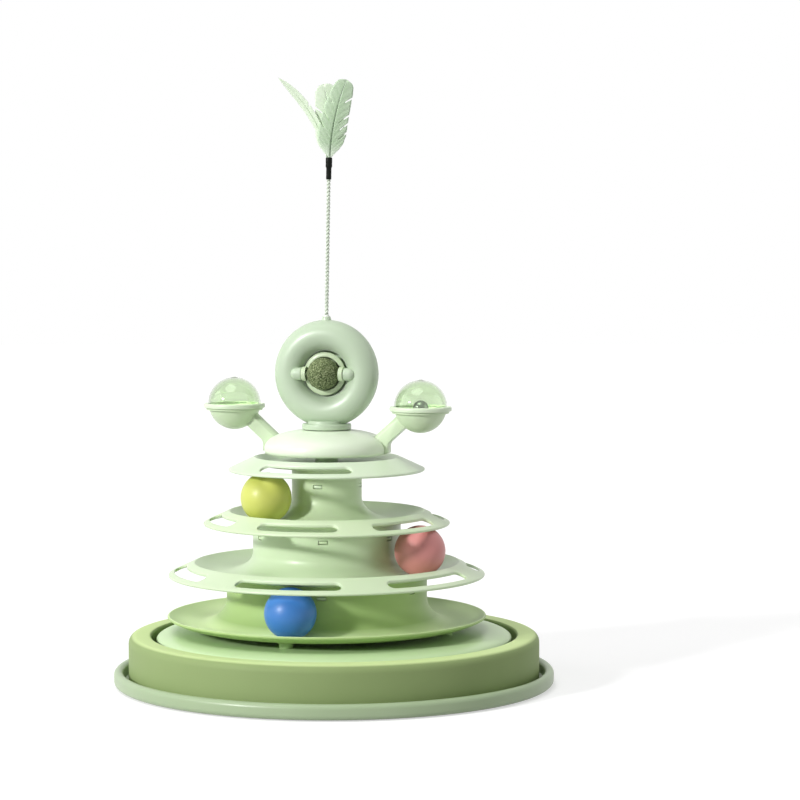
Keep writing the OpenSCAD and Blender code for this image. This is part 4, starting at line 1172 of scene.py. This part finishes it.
def arm_prism(more=0, bevel=0):
    """The bar of an arm as (vertices, faces), larger all round, or with its edges bevelled."""
    outline = arm_outline(more)
    count = len(outline)
    depth = ARM_W / 2 + more
    bm = bmesh.new()
    rows = [[bm.verts.new((r, y, z)) for r, z in outline] for y in (-depth, depth)]
    bm.faces.new(rows[0])
    bm.faces.new(rows[1][::-1])
    for k in range(count):
        m = (k + 1) % count
        bm.faces.new((rows[0][k], rows[1][k], rows[1][m], rows[0][m]))
    bmesh.ops.recalc_face_normals(bm, faces=bm.faces)
    if bevel:
        upper = []
        for row in rows:
            upper += [e for e in bm.edges if e.verts[0] in row[-3:] and e.verts[1] in row[-3:]]
        bmesh.ops.bevel(bm, geom=upper, offset=bevel, segments=1, affect="EDGES")
        corners = [e for e in bm.edges if len(e.link_faces) == 2 and e.calc_face_angle() > 0.45]
        bmesh.ops.bevel(bm, geom=corners, offset=ARM_EDGE, segments=2, profile=0.5, affect="EDGES")
    return part_of(bm)


class TOWER_OT_arms(bpy.types.Operator):
    """Builds both arms with their bowls, and the floors that lie in the bowls"""

    bl_idname = "tower.arms"
    bl_label = "Arms and bowls"

    def execute(self, context):
        choices = context.scene.tower_head
        plastic = moulded_abs("moulded ABS, mint, arms", hex_of(choices.cup_color), "#C8DBB5")
        light = moulded_abs("moulded ABS, mint, cup floors", "#DDF0CC", "#D2E8BF")
        bar = arm_prism(bevel=choices.arm_bevel / MM)
        seat_r = CUP_RING_R - 1.8
        seat_z = BOWL_EDGE_Z + 1.8
        hollow = sphere_arc(CUP_R - 1.1, -90, -15.2) + [(seat_r, BOWL_EDGE_Z), (seat_r, 12), (0, 12)]
        bowl = sphere_arc(CUP_R, -90, math.degrees(math.asin(BOWL_EDGE_Z / CUP_R)))
        edge = [(CUP_RING_R - 2.6, BOWL_EDGE_Z), (seat_r, BOWL_EDGE_Z, 0.5), (seat_r, seat_z, 0.3)]
        bowl += rounded(edge, 3)[:-1]
        bowl += [(CUP_RING_R - 2, seat_z), (CUP_RING_R - 2, BOWL_TOP_Z)]
        bowl += [(BOWL_IN_R, BOWL_TOP_Z), (CUP_R - 2.3, BOWL_EDGE_Z)]
        bowl += sphere_arc(BOWL_IN_R, math.degrees(math.asin(BOWL_EDGE_Z / BOWL_IN_R)), -90)
        low_z = CUP_FLOOR_Z - CUP_FLOOR_T
        top_r = math.sqrt(BOWL_IN_R**2 - CUP_FLOOR_Z**2) - 0.05
        low_r = math.sqrt(BOWL_IN_R**2 - low_z**2) - 0.05
        disc = rounded([(0, low_z), (low_r, low_z), (top_r, CUP_FLOOR_Z, 0.4), (0, CUP_FLOOR_Z)], 3)
        for side, turn in SIDES.items():
            place = cup_place(side)
            arm = new_object("arm_" + side, bar, HEAD_PLACE @ turn, 30)
            cut_with(arm, new_object("hollow", lathe(hollow, 96), place), sharp_angle=30)
            cut_with(arm, new_object("bowl", lathe(bowl, 144), place), "UNION", 30)
            dress(arm, plastic, "head_plastic", "head", "arm_" + side)
            name = "cup_floor_" + side
            add_piece(name, lathe(disc, 96), place, light, "cup_floor_plastic", "head", name)
        return {"FINISHED"}


class TOWER_OT_covers(bpy.types.Operator):
    """Builds the clear domes of the cups and the rings that hold them"""

    bl_idname = "tower.covers"
    bl_label = "Clear covers"

    def execute(self, context):
        clear = clear_styrene("clear polystyrene, domes")
        plastic = moulded_abs("moulded ABS, mint, cup rings", "#DCEBCF", "#D1E2C2")
        inner_r = CLEAR_R - CLEAR_T
        flange_r = CUP_RING_R - 2
        # The flange, the ball of the dome and the small nub on its top
        dome = [(math.sqrt(inner_r**2 - FLANGE_Z**2), FLANGE_Z), (flange_r, FLANGE_Z), (flange_r, -0.6)]
        dome += [(CLEAR_R + 0.35, -0.6), (CLEAR_R + 0.05, -0.35)]
        dome += sphere_arc(CLEAR_R, 1, math.degrees(math.acos(2.4 / CLEAR_R)), 48)
        dome += [(1.95, CLEAR_R + 0.1), (1.6, CLEAR_R + 0.25), (1.25, CLEAR_R + 0.1)]
        dome += [(0.95, CLEAR_R - 0.5), (0, CLEAR_R - 0.6)]
        dome += sphere_arc(inner_r, 90, 0, 48)
        bore = CUP_RING_R - 1.9
        mouth = CLEAR_R + 0.1
        ring = [(bore, -3.3), (CUP_RING_R, -3.3, 0.5), (CUP_RING_R, 0.3, 1.3)]
        ring += [(mouth, 0.3, 0.3), (mouth, -0.58), (bore, -0.58)]
        ring = lathe(rounded(ring, 4), 144)
        for side in SIDES:
            place = cup_place(side)
            body = side + "_cover"
            name = "clear_dome_" + side
            finish = (clear, "clear_plastic", body, name)
            shell = add_piece(name, lathe(dome, 144), place, *finish, sharp_angle=50)
            # Clear plastic lets the lamps through
            shell.visible_shadow = False
            name = "cup_ring_" + side
            add_piece(name, ring, place, plastic, "cup_ring_plastic", body, name)
        return {"FINISHED"}


class TOWER_OT_bell(bpy.types.Operator):
    """Builds the slotted chrome bell in the right cup"""

    bl_idname = "tower.bell"
    bl_label = "Bell"

    def execute(self, context):
        # A sphere with a seam round its middle
        outline = sphere_arc(BELL_R, -90, -3, 32) + [(BELL_R + 0.02, -0.28), (BELL_R + 0.02, 0.28)]
        outline += sphere_arc(BELL_R, 3, 90, 32) + sphere_arc(BELL_R - BELL_T, 90, -90, 64)
        place = Matrix.Translation(middle_of("bell_shell")) @ Matrix.Rotation(HEAD_TURN, 4, "Z")
        bell = new_object("bell", lathe(outline, 96), place)
        slot = block((BELL_R * 1.6, 1.3, 2 * BELL_R * 0.85), (0, 0, -BELL_R * 1.15))
        for turn in (0, math.pi / 2):
            cut_with(bell, new_object("slot", slot, place @ Matrix.Rotation(turn, 4, "Z")))
        dress(bell, chrome_plate("nickel-chrome plate, bell"), "bell_chrome", "bell", "bell_shell")
        return {"FINISHED"}


class TOWER_OT_donut(bpy.types.Operator):
    """Builds the donut's halves with their peg bosses, and the foot that it stands on"""

    bl_idname = "tower.donut"
    bl_label = "Donut"

    def execute(self, context):
        choices = context.scene.tower_head
        plastic = moulded_abs("moulded ABS, mint, donut", hex_of(choices.donut_color), "#B5C7AB")
        seam = choices.seam / MM
        shell = arc(TUBE_MID_R, 0, TUBE_R, TUBE_R, 0, 180, 56)
        inner = arc(TUBE_MID_R, 0, TUBE_R - DONUT_T, TUBE_R - DONUT_T, 180, 0, 40)
        outer = [(shell[0][0] - seam, 0), (shell[0][0] - seam * 0.3, seam * 0.3)] + shell[1:-1]
        outer += [(shell[-1][0] + seam * 0.3, seam * 0.3), (shell[-1][0] + seam, 0)]
        front_half = lathe(outer + inner, 240)
        back_half = ([(x, y, -z) for x, y, z in front_half[0]], front_half[1])
        across = Matrix.Rotation(math.pi / 2, 4, "X")
        top_hole = Matrix.Translation((0, TUBE_MID_R + TUBE_R, 0)) @ across
        low_hole = Matrix.Translation((0, -TUBE_MID_R - TUBE_R, 0)) @ across
        for half, name in ((front_half, "donut_front"), (back_half, "donut_back")):
            piece = new_object(name, half, DONUT_PLACE)
            for place, radius in ((top_hole, COLLAR_HOLE_R), (low_hole, SCREW_HOLE_R)):
                drill = lathe([(0, -7), (radius, -7), (radius, 7), (0, 7)], 48)
                cut_with(piece, new_object("drill", drill, DONUT_PLACE @ place))
            if half is front_half:
                for side, out in peg_turns():
                    place = Matrix.Translation((side * (COVER_R + 1), 0, CATNIP_FRONT)) @ out
                    cut_with(piece, new_object("boss", self.peg_boss(), DONUT_PLACE @ place), "UNION")
            else:
                # Closes the view past the catnip ball, behind the cover's sweep
                ledge = rounded([(13, -6.2), (20.7, -6.2), (20.7, -4.8), (13, -4.8, 0.5)], 3)
                cut_with(piece, new_object("ledge", lathe(ledge, 180), DONUT_PLACE), "UNION")
            dress(piece, plastic, "donut_plastic", "head", name)
        low_z = DOME_TOP_Z + 0.02
        step_z = DOME_TOP_Z + 4.3
        top_z = DOME_TOP_Z + 6.7
        outline = [(SCREW_HOLE_R, low_z), (19.5, low_z, 0.4), (19.5, step_z, 1.0)]
        outline += [(14.9, step_z, 0.4), (14.7, top_z, 0.6), (SCREW_HOLE_R, top_z)]
        foot = new_object("donut_foot", lathe(rounded(outline, 4), 144), HEAD_PLACE)
        ring = arc(TUBE_MID_R, 0, TUBE_R + 0.06, TUBE_R + 0.06, 0, 356, 89)
        cut_with(foot, new_object("seat", lathe(ring, 240), DONUT_PLACE))
        dress(foot, plastic, "donut_plastic", "head", "donut_foot")
        return {"FINISHED"}

    def peg_boss(self):
        """One boss that holds a peg of the cover: a short cylinder with a round end and a button."""
        outline = [(3.05, 0), (4.7, 0), (5.0, 0.3), (5.0, 4)]
        outline += arc(0, 4, 5.0, 5.4, 0, 70, 10)[1:]
        outline += [(1.7, 9.3), (1.5, 9.9), (0.9, 10.2), (0, 10.2), (0, 5.6), (3.05, 5.6)]
        return lathe(outline, 64)


def peg_turns():
    """Each side of the catnip ball, with the turn that looks outward along its pegs."""
    return [(side, Matrix.Rotation(side * math.pi / 2, 4, "Y")) for side in (1, -1)]


class TOWER_OT_catnip(bpy.types.Operator):
    """Builds the turning half cover and the pressed catnip ball in it"""

    bl_idname = "tower.catnip"
    bl_label = "Catnip ball and cover"

    def execute(self, context):
        plastic = moulded_abs("moulded ABS, pale lime, cover", "#CDDEBA", "#C2D4AE")
        inner_r = COVER_R - COVER_T
        outline = sphere_arc(COVER_R, -90, math.degrees(math.asin(COVER_EDGE_Z / COVER_R)))
        # The lip, outside and inside
        outline += [(16.8, COVER_EDGE_Z), (17.0, -5.0), (17.0, -4.4), (16.8, -4.2), (16.0, -4.05)]
        outline += [(15.7, -3.8), (13.6, -3.8), (13.3, -4.1), (13.3, -4.7)]
        outline += sphere_arc(inner_r, math.degrees(math.asin(-5.3 / inner_r)), -90)
        cover = new_object("cover", lathe(outline, 180), CATNIP_PLACE)
        ear = [(0, 12), (5.6, 12), (5.6, COVER_R + 0.2), (5.2, COVER_R + 0.6), (3, COVER_R + 0.6)]
        ear += [(3, COVER_R + 6.0), (2.6, COVER_R + 6.4), (0, COVER_R + 6.4)]
        pin = [(0, CATNIP_R - 4), (PIN_R, CATNIP_R - 4, 0.3), (PIN_R, inner_r + 0.6), (0, inner_r + 0.6)]
        ears = joined(*[placed(lathe(ear, 64), out) for _, out in peg_turns()])
        pins = joined(*[placed(lathe(rounded(pin, 3), 32), out) for _, out in peg_turns()])
        bores = new_object("ears", ears, CATNIP_PLACE)
        cut_with(bores, new_object("inside", lathe(sphere_arc(inner_r, -90, 90, 48), 96), CATNIP_PLACE))
        cut_with(cover, bores, "UNION")
        cut_with(cover, new_object("pins", pins, CATNIP_PLACE), "UNION")
        dress(cover, plastic, "catnip_cover_plastic", "catnip_holder", "catnip_cover")
        leaf = pressed_catnip("pressed catnip leaf")
        finish = (leaf, "catnip_pressed", "catnip", "catnip_ball")
        add_piece("catnip", self.leaf_ball(), CATNIP_PLACE, *finish, sharp_angle=180)
        return {"FINISHED"}

    def leaf_ball(self):
        """A lumpy ball of pressed leaf, inside the ball of the frame, with room for the pins."""
        bm = bmesh.new()
        bmesh.ops.create_icosphere(bm, subdivisions=6, radius=1)
        for v in bm.verts:
            here = v.co.normalized()
            lump = noise.noise(here * 5.5) * 0.5 + noise.noise(here * 13) * 0.35
            crumb = noise.noise(here * 34) * 0.22
            v.co = here * (CATNIP_R - 0.55 + lump * 0.75 + crumb)
            if math.hypot(v.co.y, v.co.z) < 1.7:
                v.co.x *= 1 - 4 / CATNIP_R
            v.co = v.co * min(1, CATNIP_R / v.co.length)
        return part_of(bm)


class TOWER_OT_wand(bpy.types.Operator):
    """Builds the collar, the twisted wire and the sleeve that holds the feathers"""

    bl_idname = "tower.wand"
    bl_label = "Wand"

    def execute(self, context):
        plastic = moulded_abs("moulded ABS, mint, collar", "#C7D6BE", "#B9CBAF")
        mouth_r = 1.75 + (COLLAR_TOP_Z - WAND_Z) * 0.54
        outline = [(1.75, WAND_Z + 0.1), (1.75, WAND_Z - 6.4), (5.0, WAND_Z - 6.7), (5.0, WAND_Z - 5.4)]
        outline += [(3.8, WAND_Z - 5.2), (3.8, COLLAR_TOP_Z - 3.0), (3.45, COLLAR_TOP_Z - 2.0)]
        outline += [(3.2, COLLAR_TOP_Z - 0.9), (3.0, COLLAR_TOP_Z - 0.5), (mouth_r, COLLAR_TOP_Z - 0.45)]
        finish = (plastic, "collar_plastic", "collar", "wand_collar")
        add_piece("collar", lathe(outline, 72), HEAD_PLACE, *finish)
        nylon = coated_wire("nylon-coated wire")
        wire = joined(self.strand(0), self.strand(math.pi))
        add_piece("wire", wire, WAND_PLACE, nylon, "wire_steel", "wand", "wand_wire", sharp_angle=60)
        low = WIRE_L
        step = low + FERRULE_LOW_L
        top = step + FERRULE_TOP_L
        outline = [(1.66, low), (1.9, low), (2.06, low + 0.25), (2.12, low + 2.2), (2.04, low + 3.4)]
        outline += [(2.1, low + 5.2), (2.06, step - 1.0), (2.2, step - 0.4), (2.56, step + 0.3)]
        outline += [(2.62, step + 1.4), (2.55, step + 3.0), (2.62, step + 4.6), (2.58, top - 0.5)]
        outline += [(2.4, top - 0.1), (2.15, top), (2.08, top - 0.4), (2.08, top - 3), (1.66, top - 3.2)]
        finish = (shrink_sleeve("heat-shrunk sleeve"), "ferrule_plastic", "wand", "wand_ferrule")
        add_piece("sleeve", lathe(outline, 48), WAND_PLACE, *finish, sharp_angle=60)
        return {"FINISHED"}

    def strand(self, turn):
        """One strand of the twisted wire, which goes on a little inside the sleeve."""
        choices = bpy.context.scene.tower_wand
        length = WIRE_L + WIRE_IN_SLEEVE
        lay = choices.lay / MM
        steps = int(length / lay * 18)
        path = []
        for i in range(steps + 1):
            z = 0.8 + length * i / steps
            a = 2 * math.pi * z / lay + turn
            path.append((STRAND_MID_R * math.cos(a), STRAND_MID_R * math.sin(a), z))
        return tube(path, [choices.strand_r / MM] * (steps + 1))


class TOWER_OT_feathers(bpy.types.Operator):
    """Builds the three feathers barb by barb"""

    bl_idname = "tower.feathers"
    bl_label = "Feathers"

    def execute(self, context):
        pale = (
            dyed_feather("dyed feather, pale green", "#E8F9DC", "#DBF1CC", "#F3FCEE"),
            feather_quill("feather quill, pale green", "#A9C19D"),
            "feather_pale",
        )
        dark = (
            dyed_feather("dyed feather, grey green", "#BAD5B0", "#AAC7A0", "#E8F7E0"),
            feather_quill("feather quill, grey green", "#6A8064"),
            "feather_dark",
        )
        bend = ((0.5, -0.9, -2.95), (1, -3, 30), (13, -5, 61))
        partings = {-1: (0.42, 0.55, 0.74), 1: (0.33, 0.45, 0.56, 0.78)}
        self.feather("front", dark, BROAD_VANE, 11.2, (0, -1, 0), bend, partings)
        bend = ((-0.3, 0.9, -2.95), (2.5, 3, 30), (-5.2, 4, 58))
        self.feather("back", pale, BROAD_VANE, 11.6, (0, -1, 0), bend, {-1: (0.68,), 1: (0.4,)})
        bend = ((-1.3, -0.1, -2.95), (-6, 3, 34.1), (-41, 6, 62))
        self.feather("side", pale, SLIM_VANE, 3.7, (-0.45, -0.75, 0.1), bend, {-1: (), 1: (0.6,)})
        return {"FINISHED"}

    def feather(self, name, finish, shape, half_w, facing, bend, partings):
        """One feather: rows of barbs that sweep up and out from a tapering quill, parted in places."""
        vane, quill, slot = finish
        place = WAND_PLACE @ Matrix.Translation((0, 0, WIRE_L + FERRULE_LOW_L + FERRULE_TOP_L))
        chance = random.Random(name)
        facing = Vector(facing).normalized()
        a, b, c = (Vector(point) for point in bend)
        length = (c - a).length
        count = bpy.context.scene.tower_wand.barbs

        def at(t):
            """The quill's point at this share of its length."""
            return a * (1 - t) ** 2 + b * (2 * t * (1 - t)) + c * t**2

        def along(t):
            """The quill's direction there."""
            return ((b - a) * (1 - t) + (c - b) * t).normalized()

        def reach(t):
            """The vane's half width there."""
            for (t0, w0), (t1, w1) in zip(shape, shape[1:]):
                if t <= t1:
                    return half_w * (w0 + (w1 - w0) * (t - t0) / (t1 - t0))
            return 0.0

        bm = bmesh.new()
        shade = bm.verts.layers.float.new("vane")
        backs = {}
        for side in (-1, 1):
            parted = {round(share * count): chance.randint(3, 5) for share in partings[side]}
            rows = []
            for i in range(count):
                tip = 0.05 + 0.95 * i / (count - 1)
                root = tip - min((tip - 0.03) * 0.8, 1.25 * reach(tip) / length)
                far = reach(tip) * (1 - 0.03 * chance.random())
                wave = math.sin(1.05 * i)
                lean = sum((0.5 if i > j else -0.8) * math.exp(-abs(i - j - 0.5) / 2.2) for j in parted)
                row = []
                for k in range(BARB_POINTS):
                    s = k / (BARB_POINTS - 1)
                    t = root + (tip - root) * s**0.85
                    width = along(t).cross(facing).normalized()
                    face = width.cross(along(t))
                    middle = at(t) + width * (side * (0.1 + far * s)) + along(t) * (lean * s**3)
                    middle -= face * (far / 12) * (0.9 * s**2 + 0.1 * wave * min(1, 4 * s))
                    tone = 0.25 * s + max(0, 1 - (t - 0.05) / 0.17) + 0.06 * (1 + wave)
                    v = bm.verts.new(middle + face * HALF_BARB_T)
                    back = bm.verts.new(middle + face * -HALF_BARB_T)
                    v[shade] = back[shade] = min(1, tone)
                    backs[v] = back
                    row.append(v)
                rows.append(row)
            for i, (one, two) in enumerate(zip(rows, rows[1:])):
                for k in range(parted.get(i, BARB_POINTS - 1)):
                    quad = (one[k], one[k + 1], two[k + 1], two[k])
                    bm.faces.new(quad if side > 0 else quad[::-1])
        fronts = bm.faces[:]
        rims = [e.link_loops[0] for e in bm.edges if len(e.link_loops) == 1]
        rims = [(loop.vert, loop.link_loop_next.vert) for loop in rims]
        for face in fronts:
            bm.faces.new([backs[v] for v in reversed(face.verts)])
        for one, two in rims:
            bm.faces.new((two, one, backs[one], backs[two]))
        bmesh.ops.delete(bm, geom=[v for v in bm.verts if not v.link_faces], context="VERTS")
        for v in bm.verts:
            v.co = (place @ v.co) * MM
        mesh = bpy.data.meshes.new("feather_" + name)
        bm.to_mesh(mesh)
        bm.free()
        tidy_mesh(mesh, 180)
        dress(linked("feather_" + name, mesh), vane, slot, "wand", "feather_" + name)
        steps = 40
        path = [tuple(at(i / steps)) for i in range(steps + 1)]
        radii = [max(0.04, 0.46 * (1 - i / steps / 0.85)) for i in range(steps + 1)]
        add_piece("quill_" + name, tube(path, radii), place, quill, slot, "wand", sharp_angle=60)


class TOWER_OT_balls(bpy.types.Operator):
    """Builds the three blow-moulded balls"""

    bl_idname = "tower.balls"
    bl_label = "Balls"

    def execute(self, context):
        choices = context.scene.tower_balls
        # A hollow ball with the faint ridge of its mould's parting line round it
        outline = sphere_arc(BALL_R - 0.05, -90, -1.2, 64) + [(BALL_R, -0.15), (BALL_R, 0.15)]
        outline += sphere_arc(BALL_R - 0.05, 1.2, 90, 64) + sphere_arc(BALL_R - 1.6, 90, -90, 48)
        ball = lathe(outline, 144)
        lying = Matrix.Rotation(math.radians(78), 4, "X")
        balls = (("blue", "#3676BE", 0.5), ("pink", "#CA8380", -0.4), ("yellow", "#C8CD62", 0.2))
        for color, shade, tilt in balls:
            name = "ball_" + color
            place = Matrix.Translation(middle_of(name)) @ lying @ Matrix.Rotation(tilt, 4, "Y")
            skin = blown_ball("blow-moulded ball, " + color, hex_of(getattr(choices, color)), shade)
            add_piece(name, ball, place, skin, name + "_plastic", color + "_ball", name, sharp_angle=60)
        return {"FINISHED"}


class TOWER_OT_hardware(bpy.types.Operator):
    """Gives the screws, the spindle and the other inner pieces of the frame their materials"""

    bl_idname = "tower.hardware"
    bl_label = "Screws and spindle"

    def execute(self, context):
        steel = zinc_plate("zinc-plated steel")
        acetal = moulded_abs("turned acetal, washer", "#E9ECE6", "#E2E6DE", 0.5, 0.0)
        plate = moulded_abs("moulded ABS, mint, chassis", "#C9DFBB", "#BFD7B0", 0.5, 0.0)
        screws = ("base_screws", "tower_screws", "head_screws", "donut_screws", "foot_screw")
        for material, nodes in (
            (steel, screws + ("spindle", "spindle_keeper", "bell_pellet")),
            (acetal, ("thrust_washer", "wand_ball_end")),
            (plate, ("head_chassis",)),
        ):
            for name in nodes:
                NODES[name].material_slots[0].material = material
        return {"FINISHED"}


# Studio

# 1 where the camera, a mirror or clear plastic looks straight at the background, else 0
PLAIN_VIEW = {
    "path": ("LightPath",),
    "seen": ("Math", {0: "path.Is Camera Ray", 1: "path.Is Glossy Ray"}, {"operation": "ADD"}),
    "share": (
        "Math",
        {0: "seen.Value", 1: "path.Is Transmission Ray"},
        {"operation": "ADD", "use_clamp": True},
    ),
}


class TOWER_OT_studio(bpy.types.Operator):
    """Sets up the pale floor, the even light, the four lamps and the camera"""

    bl_idname = "tower.studio"
    bl_label = "Studio"

    def execute(self, context):
        choices = context.scene.tower_studio
        scene = context.scene
        scene.view_settings.view_transform = "Standard"
        self.sky(scene, choices.sky)
        self.floor()
        self.sun("key", choices.key, choices.key_spread, (0.74, 0.58, -0.36))
        for name, degrees, way in (
            ("overhead", 40, (0.25, 0.2, -1)),
            ("fill", 50, (-0.95, 0.02, -0.25)),
            ("edge", 50, (0.95, -0.05, -0.25)),
        ):
            lamp = self.sun(name, getattr(choices, name), math.radians(degrees), way)
            lamp.visible_glossy = False
        lens = bpy.data.cameras.new("camera")
        lens.lens = choices.focal
        lens.sensor_width = SENSOR_W
        lens.clip_end = CAMERA_REACH * MM
        camera = linked("camera", lens)
        camera.location = [x * MM for x in CAMERA_PLACE]
        camera.rotation_euler = (math.radians(90 - CAMERA_TILT), 0, math.radians(-CAMERA_TURN))
        scene.camera = camera
        return {"FINISHED"}

    def sun(self, name, strength, spread, way):
        """A lamp far away that shines along the given direction."""
        lamp = bpy.data.lights.new(name, "SUN")
        lamp.energy = strength
        lamp.angle = spread
        light = linked(name, lamp)
        light.rotation_euler = Vector(way).to_track_quat("-Z", "Y").to_euler()
        return light

    def sky(self, scene, strength):
        """A white background, and weaker even light on the object."""
        world = bpy.data.worlds.new("studio")
        world.use_nodes = True
        world.node_tree.nodes.clear()
        nodes = PLAIN_VIEW | {
            "level": ("MapRange", {"Value": "share.Value", "To Min": strength, "To Max": 1.0}),
            "light": ("Background", {"Color": "#FFFFFF", "Strength": "level.Result"}),
            "out": ("OutputWorld", {"Surface": "light.Background"}),
        }
        for key, node in nodes.items():
            add_node(world.node_tree, key, *node)
        scene.world = world

    def floor(self):
        """A matt white table top that keeps the toy's shadow and runs out into the background."""
        half = FLOOR_HALF * MM
        mesh = bpy.data.meshes.new("floor")
        corners = [(-half, -half, 0), (half, -half, 0), (half, half, 0), (-half, half, 0)]
        mesh.from_pydata(corners, [], [(0, 1, 2, 3)])
        nodes = PLAIN_VIEW | {
            "paint": ("BsdfDiffuse", {"Color": "#C4C4C4"}),
            "level": ("Math", {0: "share.Value", 1: 0.55}, {"operation": "MULTIPLY"}),
            "glow": ("Emission", {"Color": "#FFFFFF", "Strength": "level.Value"}),
            "both": ("AddShader", {0: "paint.BSDF", 1: "glow.Emission"}),
        }
        mesh.materials.append(new_material("matt white laminate, floor", nodes, surface="both.Shader"))
        linked("floor", mesh)


class TOWER_PT_pieces(bpy.types.Panel):
    """Lists the sizes and colours of the toy, and the operators that build its pieces"""

    bl_label = "Ball tower"
    bl_idname = "TOWER_PT_pieces"
    bl_space_type = "VIEW_3D"
    bl_region_type = "UI"
    bl_category = "Ball tower"

    def draw(self, context):
        for group in GROUPS:
            box = self.layout.box()
            choices = getattr(context.scene, group)
            for name in choices.bl_rna.properties.keys():
                if name not in ("rna_type", "name"):
                    box.prop(choices, name)
        for operator in OPERATORS:
            self.layout.operator(operator.bl_idname)


GROUPS = {
    "tower_base": BaseChoices,
    "tower_tracks": TrackChoices,
    "tower_head": HeadChoices,
    "tower_balls": BallChoices,
    "tower_wand": WandChoices,
    "tower_studio": StudioChoices,
}

# The operators in the order in which they run
OPERATORS = (
    TOWER_OT_base,
    TOWER_OT_tracks,
    TOWER_OT_feet,
    TOWER_OT_dome,
    TOWER_OT_arms,
    TOWER_OT_covers,
    TOWER_OT_bell,
    TOWER_OT_donut,
    TOWER_OT_catnip,
    TOWER_OT_wand,
    TOWER_OT_feathers,
    TOWER_OT_balls,
    TOWER_OT_hardware,
    TOWER_OT_studio,
)


def register():
    """Registers the choices, the operators and the panel."""
    for name, group in GROUPS.items():
        bpy.utils.register_class(group)
        setattr(bpy.types.Scene, name, PointerProperty(type=group))
    for operator in OPERATORS:
        bpy.utils.register_class(operator)
    bpy.utils.register_class(TOWER_PT_pieces)


def unregister():
    """Takes them out again."""
    bpy.utils.unregister_class(TOWER_PT_pieces)
    for operator in reversed(OPERATORS):
        bpy.utils.unregister_class(operator)
    for name, group in GROUPS.items():
        delattr(bpy.types.Scene, name)
        bpy.utils.unregister_class(group)


def main():
    """Builds the whole toy."""
    register()
    bpy.ops.tower.base()
    bpy.ops.tower.tracks()
    bpy.ops.tower.feet()
    bpy.ops.tower.dome()
    bpy.ops.tower.arms()
    bpy.ops.tower.covers()
    bpy.ops.tower.bell()
    bpy.ops.tower.donut()
    bpy.ops.tower.catnip()
    bpy.ops.tower.wand()
    bpy.ops.tower.feathers()
    bpy.ops.tower.balls()
    bpy.ops.tower.hardware()
    bpy.ops.tower.studio()


if __name__ == "__main__":
    main()
